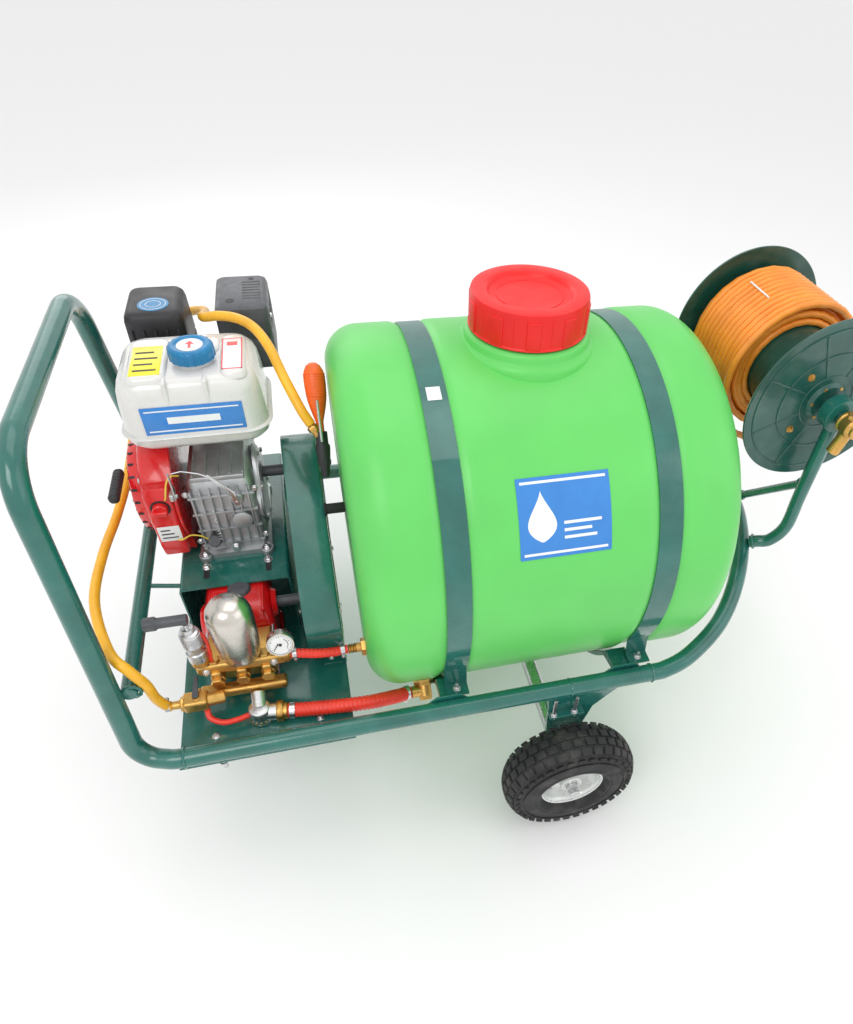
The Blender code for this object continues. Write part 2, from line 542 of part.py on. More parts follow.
# ---------------------------------------------------------------- pump
def build_pump():
    box("pump_crankcase", (-0.545, -0.168, TRAY_TOP + GAP), (-0.430, -0.060, 0.443), ENGINE_RED, 0.008)
    box("pump_head", (-0.538, -0.222, 0.345), (-0.437, -0.1683, 0.408), CAST_ALU, 0.004)
    manifold = box("pump_manifold", (-0.556, -0.2450, 0.392), (-0.408, -0.2223, 0.414), BRASS, 0.005)
    lower = box("manifold_lower", (-0.560, -0.262, 0.346), (-0.420, -0.2450 + 0.004, 0.364), None, 0.004)
    ribs = [box("manifold_rib", (x - 0.010, -0.2445, 0.350), (x + 0.010, -0.2240, 0.400), None)
            for x in (-0.528, -0.488, -0.448)]
    valve = box("outlet_valve", (-0.586, -0.292, 0.356), (-0.520, -0.2605, 0.384), None, 0.005)
    barb = rod("outlet_barb", 0.0095, (-0.580, -0.2772, 0.370), (-0.600, -0.2772, 0.370), None, 12)
    join(manifold, *ribs, lower, valve, barb)

    dome = [(0, 0.550), (0.017, 0.547), (0.029, 0.537), (0.0355, 0.521), (0.036, 0.500), (0.031, 0.422),
            (0.026, 0.4143), (0.018, 0.4143), (0.0285, 0.426), (0.033, 0.500), (0.0325, 0.519), (0.0265, 0.534),
            (0.016, 0.5435), (0, 0.546)]
    turned("air_chamber", dome, (-0.482, -0.2335, 0), "Z", STEEL, 24)

    face_turn = Vector((0, 0, 1)).rotation_difference(Vector((0.0, -0.97, 0.24))).to_matrix()
    gauge_at = Vector((-0.418, -0.240, 0.4395))
    gauge = turned("pressure_gauge", [(0, 0.004), (0.0185, 0.004), (0.0185, 0.009), (0.0225, 0.009),
                                      (0.0225, -0.010), (0, -0.010)], gauge_at, "Z", STEEL, 24)
    gauge.matrix_world = Matrix.Translation(gauge_at) @ face_turn.to_4x4()
    stem = rod("gauge_stem", 0.006, (-0.418, -0.2325, 0.4143), (-0.418, -0.2325, 0.446), None, 10)
    join(gauge, stem)
    needle = box("gauge_needle", (-0.0015, -0.004, 0.0045), (0.0015, 0.015, 0.0060), BLACK)
    needle.matrix_world = (Matrix.Translation(gauge_at) @ face_turn.to_4x4()
                           @ Matrix.Rotation(math.radians(130), 4, "Z") @ needle.matrix_world)
    on_axis(needle, gauge_at)

    regulator = [(0, 0.512), (0.010, 0.512), (0.013, 0.502), (0.013, 0.470), (0.016, 0.462), (0.016, 0.430),
                 (0.011, 0.424), (0.011, 0.4143), (0, 0.4143)]
    turned("regulator", regulator, (-0.5465, -0.2345, 0), "Z", CAST_ALU, 16)
    lever_end = Vector(REGULATOR_PIVOT) + Vector((-0.0575, 0, 0))
    on_axis(rod("regulator_lever", 0.010, REGULATOR_PIVOT, lever_end, BLACK, 14), REGULATOR_PIVOT)

    on_axis(box("outlet_valve_lever", (-0.566, -0.281, 0.3845), (-0.556, -0.238, 0.3905), STEEL), VALVE_PIVOT)

    elbow = turned("suction_elbow", [(0, 0.345), (0.019, 0.345), (0.019, 0.312), (0, 0.312)],
                   (-0.470, -0.290, 0), "Z", CAST_ALU, 16)
    spout = rod("elbow_spout", 0.015, (-0.470, -0.290, 0.330), (-0.425, -0.295, 0.328), None, 14)
    stub = rod("elbow_stub", 0.012, (-0.470, -0.290, 0.334), (-0.470, -0.2625, 0.350), None, 12)
    join(elbow, spout, stub)


# ---------------------------------------------------------------- hoses and gun
def build_hoses(return_at, sump_at):
    sump = Vector(sump_at)
    suction = [(-0.4245, -0.2955, 0.328), (-0.418, -0.2962, 0.3277), (-0.360, -0.302, 0.3265),
               (-0.290, -0.302, 0.320), (-0.240, -0.278, 0.288), sump + Vector((-0.008, 0, 0)), sump]
    tube("suction_hose", smooth_path(suction, 3), 0.0130, HOSE_RED, 2)

    end_x = TANK_X - TANK_HALF - 0.0305
    back = [(-0.4072, -0.2350, 0.4030), (-0.400, -0.2350, 0.4030), (-0.365, -0.236, 0.394), (-0.335, -0.233, 0.387),
            (end_x - 0.008, *return_at), (end_x, *return_at)]
    tube("return_hose", smooth_path(back, 3), 0.0085, HOSE_RED, 2)

    # the delivery hose: out of the pump, over the cross tube, round behind the engine, to the gun
    gun_root, inlet = Vector(GUN_ROOT), Vector(GUN_INLET).normalized()
    route = [(-0.6006, -0.2772, 0.370), (-0.606, -0.2772, 0.370), (-0.6145, -0.283, 0.405), (-0.6150, -0.290, 0.450),
             (-0.6270, -0.290, 0.488), (-0.655, -0.257, 0.502), (-0.688, -0.150, 0.502), (-0.690, -0.040, 0.500),
             (-0.678, 0.060, 0.502), (-0.662, 0.150, 0.524), (-0.644, 0.240, 0.575), (-0.618, 0.325, 0.640),
             (-0.580, 0.364, 0.690), (-0.528, 0.368, 0.718), (-0.488, 0.334, 0.738), (-0.478, 0.280, 0.756),
             (-0.476, 0.230, 0.775), (-0.466, 0.199, 0.788), (-0.445, 0.184, 0.796), (-0.415, 0.163, 0.800),
             (-0.388, 0.127, 0.800), (-0.367, 0.080, 0.789), (-0.350, 0.036, 0.757), gun_root + 0.052 * inlet, gun_root + 0.0305 * inlet]
    tube("delivery_hose", smooth_path(route, 3), HOSE_R, HOSE_YELLOW, 2)


def build_gun():
    root, up, inlet = Vector(GUN_ROOT), Vector(GUN_UP).normalized(), Vector(GUN_INLET).normalized()
    turn = Vector((0, 0, 1)).rotation_difference(up).to_matrix()
    body = turned("spray_gun", [(0, 0.014), (0.010, 0.014), (0.010, -0.006), (0.012, -0.010), (0.010, -0.040),
                               (0.004, -0.060), (0, -0.060)], root, "Z", BLACK, 14)
    body.matrix_world = Matrix.Translation(root) @ turn.to_4x4()
    grip = turned("gun_grip", [(0, 0.122), (0.010, 0.118), (0.0165, 0.106), (0.0172, 0.088), (0.0152, 0.064),
                               (0.0105, 0.044), (0.006, 0.030), (0.006, 0.012), (0, 0.012)], root, "Z", None, 14)
    grip.matrix_world = Matrix.Translation(root) @ turn.to_4x4()
    join(body, grip, rod("gun_inlet", 0.007, root, root + 0.030 * inlet, None, 12))
    trigger = box("gun_trigger", (-0.003, -0.0020, -0.002), (0.003, 0.0020, 0.066), BLACK, 0.001)
    pivot = root + turn @ Vector((0, -0.0165, 0))
    trigger.matrix_world = (Matrix.Translation(pivot) @ turn.to_4x4()
                            @ Matrix.Rotation(math.radians(TRIGGER_OPEN), 4, "X") @ trigger.matrix_world)
    on_axis(trigger, pivot)


# ---------------------------------------------------------------- hose reel
def build_reel():
    for side, name in ((-1, "near"), (1, "far")):
        arm_path = smooth_path([(0.4935, side * 0.1545, 0.4285), (0.504, side * 0.162, 0.4345),
                                (0.522, side * 0.173, 0.446),
                                (0.538, side * ARM_Y, 0.485), (0.536, side * ARM_Y, 0.560),
                                (REEL_X, side * ARM_Y, REEL_Z - 0.060), (REEL_X, side * ARM_Y, REEL_Z - 0.018)], 3)
        arm = as_mesh(tube("reel_arm_" + name, arm_path, ARM_R, FRAME_GREEN))
        half = 0.012
        ring = turned("hub_" + name, [(0.030, half), (0.030, -half), (REEL_SHAFT_R + RUN, -half),
                                      (REEL_SHAFT_R + RUN, half)], (REEL_X, side * ARM_Y, REEL_Z), "Y", None, 24)
        stay = rod("reel_stay_" + name, STAY_R, (0.530, side * 0.034, 0.4440), (0.536, side * 0.176, 0.588), None, 10)
        join(arm, ring, stay)

    disc, shaft_end = 0.0015, 0.200
    half = [(REEL_SHAFT_R, shaft_end), (REEL_SHAFT_R, FLANGE_Y + disc), (FLANGE_R, FLANGE_Y + disc),
            (FLANGE_R, FLANGE_Y - disc), (0.022, FLANGE_Y - disc)]
    drum = turned("reel_drum", [(0, shaft_end)] + half + [(r, -h) for r, h in reversed(half)] + [(0, -shaft_end)],
                  (REEL_X, 0, REEL_Z), "Y", REEL_GREEN, 36)
    bar_r, bar_at = 0.006, 0.070
    for k in range(4):
        angle = math.radians(45 + 90 * k)
        x, z = REEL_X + bar_at * math.cos(angle), REEL_Z + bar_at * math.sin(angle)
        join(drum, rod("reel_bar", bar_r, (x, -FLANGE_Y, z), (x, FLANGE_Y, z), None, 8))

    coil = [(COIL_R1, COIL_Y1), (COIL_R1, COIL_Y0), (COIL_R0, COIL_Y0), (COIL_R0, COIL_Y1)]
    turned("reel_hose", coil, (REEL_X, 0, REEL_Z), "Y", HOSE_ORANGE, 36)

    swivel = turned("reel_swivel", [(0, -0.2005), (0.019, -0.2005), (0.019, -0.232), (0.013, -0.238), (0, -0.238)],
                    (REEL_X, 0, REEL_Z), "Y", BRASS, 18)
    inlet = rod("swivel_inlet", 0.011, (REEL_X, -0.218, REEL_Z), (REEL_X - 0.014, -0.218, REEL_Z - 0.050), None, 12)
    join(swivel, inlet)

    crank_y0, crank_y1 = 0.2005, 0.2065
    crank_r = 0.112
    handle_end = arc(0.012, 180, 360, 8, (0, -crank_r))
    shape = arc(0.018, 0, 180, 8) + [(-0.010, -crank_r)] + handle_end + [(0.010, -crank_r)]
    crank = as_mesh(outline("reel_crank", shape, crank_y1 - crank_y0, STEEL,
                            (REEL_X, (crank_y0 + crank_y1) / 2, REEL_Z), "Y"))
    spigot = rod("crank_spigot", 0.004, (REEL_X, crank_y1 - 0.001, REEL_Z - crank_r),
                 (REEL_X, crank_y1 + 0.082, REEL_Z - crank_r), None, 10)
    join(crank, spigot)
    grip = [(0.011, 0.078), (0.013, 0.070), (0.012, 0.010), (0.014, 0.002), (0.0046, 0.002), (0.0046, 0.078)]
    turned("crank_grip", grip, (REEL_X, crank_y1, REEL_Z - crank_r), "Y", BLACK, 16)


build_frame()
build_engine_table()
build_wheels()
build_caster()
return_place, sump_place = build_tank()
build_engine()
build_drive()
build_pump()
build_hoses(return_place, sump_place)
build_gun()
build_reel()
bpy.context.view_layer.update()
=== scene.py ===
"""The wheeled sprayer cart's finished look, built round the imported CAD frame. Metres, +Z up."""
import math

import bmesh
import bpy
from mathutils import Matrix, Vector


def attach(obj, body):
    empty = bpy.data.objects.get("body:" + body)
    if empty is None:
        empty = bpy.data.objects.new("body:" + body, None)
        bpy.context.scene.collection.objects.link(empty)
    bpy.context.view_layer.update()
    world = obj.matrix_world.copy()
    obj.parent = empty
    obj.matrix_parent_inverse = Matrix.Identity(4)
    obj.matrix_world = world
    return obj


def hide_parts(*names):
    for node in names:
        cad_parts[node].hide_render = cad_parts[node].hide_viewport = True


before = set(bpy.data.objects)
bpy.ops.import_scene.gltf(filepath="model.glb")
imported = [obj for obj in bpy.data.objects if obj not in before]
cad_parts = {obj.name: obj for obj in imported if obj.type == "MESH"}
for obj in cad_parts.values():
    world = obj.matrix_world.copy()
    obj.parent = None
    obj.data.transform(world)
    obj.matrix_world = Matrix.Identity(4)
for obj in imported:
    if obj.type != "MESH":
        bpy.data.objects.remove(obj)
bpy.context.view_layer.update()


# ---------------------------------------------------------------- materials
def surface(name, colour, roughness, metallic=0.0, tone=0.08, tone_size=0.06, speckle=0.0, speckle_size=0.001,
        bump=0.0, bump_size=0.002, coat=0.0, dust=0.0, gloss_spread=0.08):
    """A Principled material whose tone, gloss and relief vary over the piece. Sizes are in metres."""
    made = bpy.data.materials.new(name)
    made.use_nodes = True
    nodes, links = made.node_tree.nodes, made.node_tree.links
    shader = nodes["Principled BSDF"]
    shader.inputs["Metallic"].default_value = metallic
    shader.inputs["Coat Weight"].default_value = coat
    shader.inputs["Coat Roughness"].default_value = 0.08
    where = nodes.new("ShaderNodeTexCoord").outputs["Object"]

    def noise(size, detail=3.0):
        node = nodes.new("ShaderNodeTexNoise")
        node.inputs["Scale"].default_value = 1.0 / size
        node.inputs["Detail"].default_value = detail
        links.new(where, node.inputs["Vector"])
        return node.outputs["Fac"]

    def spread(value, low, high, start=0.3, end=0.7):
        node = nodes.new("ShaderNodeMapRange")
        node.inputs["From Min"].default_value = start
        node.inputs["From Max"].default_value = end
        node.inputs["To Min"].default_value = low
        node.inputs["To Max"].default_value = high
        links.new(value, node.inputs["Value"])
        return node.outputs["Result"]

    def blend(amount, a, b):
        node = nodes.new("ShaderNodeMix")
        node.data_type = "RGBA"
        links.new(amount, node.inputs["Factor"])
        for socket, value in ((node.inputs["A"], a), (node.inputs["B"], b)):
            if isinstance(value, tuple):
                socket.default_value = (*value, 1.0)
            else:
                links.new(value, socket)
        return node.outputs["Result"]

    def shade(factor):
        return tuple(min(1.0, c * factor) for c in colour)

    tint = blend(spread(noise(tone_size), 0.0, 1.0), shade(1.0 - tone), shade(1.0 + tone))
    if speckle:
        grain = spread(noise(speckle_size, 2.0), 0.0, speckle, 0.45, 0.75)
        tint = blend(grain, tint, shade(0.45))
    if dust:
        settled = spread(noise(tone_size * 0.5, 6.0), 0.0, dust, 0.5, 0.8)
        tint = blend(settled, tint, (0.32, 0.29, 0.24))
    links.new(tint, shader.inputs["Base Color"])
    gloss = spread(noise(tone_size * 0.6, 4.0), max(0.03, roughness - gloss_spread), roughness + gloss_spread)
    links.new(gloss, shader.inputs["Roughness"])
    if bump:
        relief = nodes.new("ShaderNodeBump")
        relief.inputs["Strength"].default_value = 0.6
        relief.inputs["Distance"].default_value = bump
        links.new(noise(bump_size), relief.inputs["Height"])
        links.new(relief.outputs["Normal"], shader.inputs["Normal"])
    return made


FRAME_GREEN = surface("frame_green", (0.01, 0.135, 0.11), 0.26, tone=0.16, bump=0.0004, bump_size=0.009,
    coat=0.7, dust=0.05)
REEL_GREEN = surface("reel_green", (0.008, 0.085, 0.066), 0.33, tone=0.18, bump=0.0005,
    bump_size=0.012, coat=0.4, dust=0.1)
TANK_GREEN = surface("tank_green", (0.128, 0.62, 0.125), 0.36, tone=0.05, tone_size=0.15, bump=0.0003,
    bump_size=0.0025, gloss_spread=0.06)
LID_RED = surface("lid_red", (0.82, 0.007, 0.006), 0.38, tone=0.07, bump=0.0004, bump_size=0.0018)
ENGINE_RED = surface("engine_red", (0.74, 0.01, 0.012), 0.25, tone=0.1, coat=0.6,
    bump=0.0003, bump_size=0.006)
CAST_ALU = surface("cast_aluminium", (0.55, 0.56, 0.58), 0.42, 0.85, tone=0.14, tone_size=0.03, speckle=0.35,
    speckle_size=0.0011, bump=0.0008, bump_size=0.0016)
BLACK = surface("black_plastic", (0.02, 0.02, 0.023), 0.46, tone=0.25, bump=0.0003, bump_size=0.0012)
RUBBER = surface("rubber", (0.016, 0.016, 0.017), 0.72, tone=0.25, speckle=0.3, bump=0.0005,
    bump_size=0.002, dust=0.12)
TYRE = surface("tyre_rubber", (0.018, 0.018, 0.02), 0.66, tone=0.3, speckle=0.25, bump=0.0006,
    bump_size=0.0022, dust=0.16)
FUEL_WHITE = surface("fuel_tank_white", (0.73, 0.72, 0.7), 0.28, tone=0.04, coat=0.6,
    bump=0.0002, bump_size=0.008)
CAP_BLUE = surface("cap_blue", (0.008, 0.19, 0.42), 0.28, tone=0.1, bump=0.0002, bump_size=0.002)
BRASS = surface("brass", (0.68, 0.4, 0.115), 0.33, 0.92, tone=0.14, tone_size=0.02, speckle=0.25,
    bump=0.0005, bump_size=0.0015)
STEEL = surface("steel", (0.66, 0.66, 0.67), 0.28, 0.95, tone=0.08, tone_size=0.02,
    bump=0.0002, bump_size=0.0012)
POLISHED = surface("polished_steel", (0.66, 0.62, 0.57), 0.27, 1.0, tone=0.06, tone_size=0.03, bump=0.00015,
    bump_size=0.004, gloss_spread=0.05)
RIM_PAINT = surface("rim_paint", (0.74, 0.76, 0.74), 0.3, 0.35, tone=0.08, tone_size=0.03,
    coat=0.4, dust=0.08)
HOSE_RED = surface("hose_red", (0.84, 0.045, 0.025), 0.34, tone=0.1, tone_size=0.03,
    bump=0.0002, bump_size=0.002)
HOSE_YELLOW = surface("hose_yellow", (0.93, 0.46, 0.025), 0.3, tone=0.12, tone_size=0.04,
    bump=0.0002, bump_size=0.002)
HOSE_ORANGE = surface("hose_orange", (0.95, 0.3, 0.03), 0.3, tone=0.13, tone_size=0.04,
    bump=0.0002, bump_size=0.002)
GUN_ORANGE = surface("gun_orange", (0.92, 0.13, 0.015), 0.33, tone=0.07, tone_size=0.02,
    bump=0.0002, bump_size=0.002)
DIAL_WHITE = surface("dial_white", (0.86, 0.86, 0.85), 0.22, tone=0.03, tone_size=0.02)
LABEL_BLUE = surface("label_blue", (0.045, 0.235, 0.64), 0.24, tone=0.05, tone_size=0.03)
LABEL_WHITE = surface("label_white", (0.86, 0.87, 0.88), 0.26, tone=0.03, tone_size=0.03)
LABEL_YELLOW = surface("label_yellow", (0.9, 0.78, 0.04), 0.26, tone=0.04, tone_size=0.03)
LABEL_RED = surface("label_red", (0.8, 0.05, 0.05), 0.26, tone=0.04, tone_size=0.03)
GREY = surface("grey_plastic", (0.075, 0.08, 0.09), 0.4, tone=0.15, tone_size=0.02,
    bump=0.0003, bump_size=0.0012)
WIRE_YELLOW = surface("wire_yellow", (0.85, 0.62, 0.08), 0.35, tone=0.1, tone_size=0.02)
NYLON = surface("clear_nylon", (0.84, 0.83, 0.8), 0.18, tone=0.04, tone_size=0.02)


# ---------------------------------------------------------------- shapes
X, Y, Z = (1, 0, 0), (0, 1, 0), (0, 0, 1)
SIDES = ((-1, "near"), (1, "far"))


def facing(direction):
    """The turn that takes +Z to a direction."""
    return Vector(Z).rotation_difference(Vector(direction)).to_matrix().to_4x4()


def edges_of(verts):
    """Every edge of the vertices once, always in the same order."""
    return list(dict.fromkeys(e for v in verts for e in v.link_edges))


class Shape:
    """One piece of a single material, gathered from several forms."""

    def __init__(self, at=(0, 0, 0), turn=None):
        self.bm = bmesh.new()
        self.home = Matrix.Translation(at) @ (turn.to_4x4() if turn else Matrix.Identity(4))

    def settle(self, before, move):
        """Puts what has been added since before in its place."""
        fresh = [v for v in self.bm.verts if v not in before]
        bmesh.ops.transform(self.bm, matrix=self.home @ move, verts=fresh)
        return self

    def bridge(self, rings):
        """Quads between each closed ring of vertices and the next."""
        for a, b in zip(rings, rings[1:]):
            for k in range(len(a)):
                n = (k + 1) % len(a)
                self.bm.faces.new((a[k], a[n], b[n], b[k]))

    def ends(self, first, last):
        """The two flat faces that close a run of rings."""
        self.bm.faces.new(first)
        self.bm.faces.new(last)

    def ring(self, points):
        return [self.bm.verts.new(point) for point in points]

    def box(self, low, high, bevel=0.001, segments=3, turn=None):
        """A bevelled box between two corners, turned about its own middle."""
        low, high = Vector(low), Vector(high)
        before = set(self.bm.verts)
        made = bmesh.ops.create_cube(self.bm, size=1.0)
        bmesh.ops.scale(self.bm, vec=high - low, verts=made["verts"])
        if bevel:
            edges = edges_of(made["verts"])
            bmesh.ops.bevel(self.bm, geom=edges, offset=bevel, segments=segments, profile=0.5,
                affect="EDGES", clamp_overlap=True)
        return self.settle(before, Matrix.Translation((low + high) / 2)
            @ (turn.to_4x4() if turn else Matrix()))

    def lathe(self, profile, at=(0, 0, 0), axis=Z, steps=48):
        """Points (radius, height) run round an axis. A profile that meets the axis at both ends is closed."""
        before = set(self.bm.verts)
        rings = []
        for r, h in profile:
            if r < 1e-7:
                rings.append(self.ring([(0, 0, h)]))
            else:
                rings.append(self.ring((r * c, r * s, h) for _, c, s in around(steps)))
        pairs = list(zip(rings, rings[1:]))
        if profile[0][0] > 1e-7 and profile[-1][0] > 1e-7:
            pairs.append((rings[-1], rings[0]))
        for a, b in pairs:
            for k in range(steps):
                n = (k + 1) % steps
                corners = [a[k % len(a)], a[n % len(a)], b[n % len(b)], b[k % len(b)]]
                face = [v for i, v in enumerate(corners) if v not in corners[:i]]
                if len(face) > 2:
                    self.bm.faces.new(face)
        return self.settle(before, Matrix.Translation(at) @ facing(axis))

    def rod(self, radius, start, end, steps=24, tip=None, chamfer=None):
        """A round bar with chamfered ends, tapered if it has a tip radius."""
        start, end = Vector(start), Vector(end)
        along = (end - start).length
        tip = radius if tip is None else tip
        soft = min(radius, tip) * 0.15 if chamfer is None else chamfer
        profile = [(0, along), (tip - soft, along), (tip, along - soft), (radius, soft),
            (radius - soft, 0), (0, 0)]
        return self.lathe(profile, start, end - start, steps)

    def sweep(self, path, radius, steps=14, caps=True):
        """A round bar along a path. The radius is a number, or a list of one for each point."""
        before = set(self.bm.verts)
        path = [Vector(p) for p in path]
        radii = radius if isinstance(radius, (list, tuple)) else [radius] * len(path)
        heading = (path[1] - path[0]).normalized()
        side = heading.orthogonal().normalized()
        rings = []
        for i, (point, r) in enumerate(zip(path, radii)):
            now = (path[min(i + 1, len(path) - 1)] - path[max(i - 1, 0)]).normalized()
            side = heading.rotation_difference(now) @ side
            side = (side - now * side.dot(now)).normalized()
            heading = now
            other = now.cross(side)
            rings.append(self.ring(point + r * (c * side + s * other) for _, c, s in around(steps)))
        self.bridge(rings)
        if caps:
            self.ends(rings[0][::-1], rings[-1])
        return self.settle(before, Matrix())

    def plate(self, points, thickness, at=(0, 0, 0), axis="Z", bevel=0.0004):
        """A flat outline across an axis, half its thickness each way."""
        before = set(self.bm.verts)
        turns = {"X": Matrix((Z, X, Y)), "Y": Matrix((X, (0, 0, -1), Y)), "Z": Matrix((X, Y, Z))}
        lower = self.ring((a, b, -thickness / 2) for a, b in points)
        upper = self.ring((a, b, thickness / 2) for a, b in points)
        bottom, top = self.bm.faces.new(lower[::-1]), self.bm.faces.new(upper)
        self.bridge([lower, upper])
        if bevel:
            edges = list(bottom.edges) + list(top.edges)
            bmesh.ops.bevel(self.bm, geom=edges, offset=bevel, segments=2, profile=0.5, affect="EDGES")
        return self.settle(before, Matrix.Translation(at) @ turns[axis].to_4x4())

    def bolt(self, at, axis=Z, size=0.006, washer=True, stud=0.0):
        """A hexagon bolt head or nut on its washer, with an optional stud end past it."""
        at, axis = Vector(at), Vector(axis).normalized()
        across, high = size * 0.92, size * 0.62
        base = at
        if washer:
            self.rod(size * 1.18, at, at + axis * size * 0.16, 28, chamfer=size * 0.05)
            base = at + axis * size * 0.16
        self.lathe(boss(across, across * 0.82, high, high * 0.8), base, axis, 6)
        if stud:
            self.rod(size * 0.5, base + axis * high, base + axis * (high + stud), 16)
        return self

    def done(self, name, paint, body="cart", stands_for=(), sharp=38):
        """Makes the object. It rides its body and may stand for CAD nodes."""
        bmesh.ops.recalc_face_normals(self.bm, faces=self.bm.faces)
        mesh = bpy.data.meshes.new(name)
        self.bm.to_mesh(mesh)
        self.bm.free()
        mesh.materials.append(paint)
        mesh.shade_smooth()
        mesh.set_sharp_from_angle(angle=math.radians(sharp))
        made = bpy.data.objects.new(name, mesh)
        bpy.context.scene.collection.objects.link(made)
        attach(made, body)
        if stands_for:
            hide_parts(*([stands_for] if isinstance(stands_for, str) else stands_for))
        return made


def arc(radius, start, end, steps, centre=(0.0, 0.0)):
    """Points on an arc, angles in degrees."""
    angles = [math.radians(start + (end - start) * k / steps) for k in range(steps + 1)]
    return [(centre[0] + radius * math.cos(a), centre[1] + radius * math.sin(a)) for a in angles]


def around(count, shift=0.0, start=0.0):
    """Even steps round a circle, each as its angle, cosine and sine."""
    for k in range(count):
        angle = 2 * math.pi * (k + shift) / count + start
        yield angle, math.cos(angle), math.sin(angle)


def circle(radius, count, at=(0, 0, 0), across="Z"):
    """A closed ring of points across an axis."""
    turns = [(radius * c, radius * s) for _, c, s in around(count)]
    turns.append((radius * math.cos(2 * math.pi), radius * math.sin(2 * math.pi)))
    if across == "Y":
        return [(at[0] + a, at[1], at[2] + b) for a, b in turns]
    return [(at[0] + a, at[1] + b, at[2]) for a, b in turns]


def boss(radius, flat, height, shoulder):
    """A round or six-sided boss with a chamfered top."""
    return [(0, height), (flat, height), (radius, shoulder), (radius, 0), (0, 0)]


def rounded_path(points, radii, steps=12):
    """The corners of a bent tube: each inner point is replaced by an arc of its radius."""
    points = [Vector(p) for p in points]
    path = [points[0]]
    for before, corner, after, radius in zip(points, points[1:], points[2:], radii):
        u, v = (before - corner).normalized(), (after - corner).normalized()
        half = u.angle(v) / 2
        centre = corner + (u + v).normalized() * radius / math.sin(half)
        start, end = corner + u * radius / math.tan(half), corner + v * radius / math.tan(half)
        for k in range(steps + 1):
            ray = start.lerp(end, k / steps) - centre
            path.append(centre + ray.normalized() * radius)
    return path + [points[-1]]


def smooth_path(points, per_span=8):
    """A Catmull-Rom curve through the points, its first and last spans straight."""
    points = [Vector(p) for p in points]
    path = [points[0]]
    for a, b, c, d in zip(points, points[1:], points[2:], points[3:]):
        for k in range(per_span):
            t = k / per_span
            path.append(0.5 * (2 * b + (c - a) * t + (2 * a - 5 * b + 4 * c - d) * t * t
                + (3 * b - a - 3 * c + d) * t ** 3))
    return path + points[-2:]


def path_length(path):
    return sum((b - a).length for a, b in zip(path, path[1:]))


def even(path, gap):
    """The same path with points an even gap apart."""
    total = path_length(path)
    count = max(4, round(total / gap))
    out, walked, index = [path[0]], 0.0, 0
    for k in range(1, count):
        goal = total * k / count
        while walked + (path[index + 1] - path[index]).length < goal:
            walked += (path[index + 1] - path[index]).length
            index += 1
        span = path[index + 1] - path[index]
        out.append(path[index] + span * ((goal - walked) / span.length))
    return out + [path[-1]]


# ---------------------------------------------------------------- driving places, the same as in the CAD
GAP = 0.0003  # between two pieces that stand against each other
TUBE_R, RAIL_Y, RAIL_Z = 0.016, 0.35, 0.327
RAIL_START, RAIL_END = -0.59, 0.22
TANK_X, TANK_Z, TANK_R, TANK_HALF, GROOVE = 0.035, 0.496, 0.326, 0.318, 0.005
STRAP_OFFSET, STRAP_W = 0.172, 0.04
NECK_TOP, LID_R, LID_TOP = 0.853, 0.095, 0.897
TRAY_TOP, TABLE_Z = 0.3105, 0.45
SHAFT_Y, SHAFT_Z, PUMP_Y, PUMP_Z, PULLEY_X = 0.07, 0.556, -0.12, 0.412, -0.35
REEL_X, REEL_Z, FLANGE_R, FLANGE_Y = 0.534, 0.738, 0.149, 0.142
WHEEL_X, WHEEL_R, WHEEL_W, TRACK, RIM_R = 0.063, 0.13, 0.085, 0.415, 0.058
CASTER_X, CASTER_TRAIL, CASTER_R = -0.51, 0.036, 0.05
SUMP_WAY = (0, -0.767, -0.6416)
GUN_ROOT, GUN_UP, GUN_INLET = (-0.306, -0.0225, 0.6745), (0.02, 0.5, 0.8), (-0.45, 0.35, 0.82)
TRIGGER_OPEN = 15


# ---------------------------------------------------------------- frame
def bead(shape, at, axis, radius, thick=0.0035):
    """A weld seam: a slightly lumpy ring where one tube meets another."""
    ring = []
    turn = facing(axis)
    for k in range(49):
        angle = 2 * math.pi * k / 48
        lump = 1.0 + 0.03 * math.sin(11 * angle) + 0.02 * math.sin(23 * angle)
        ring.append(Vector(at) + turn.to_3x3() @ Vector((radius * lump * math.cos(angle),
            radius * lump * math.sin(angle), 0)))
    shape.sweep(ring, thick, 8, caps=False)


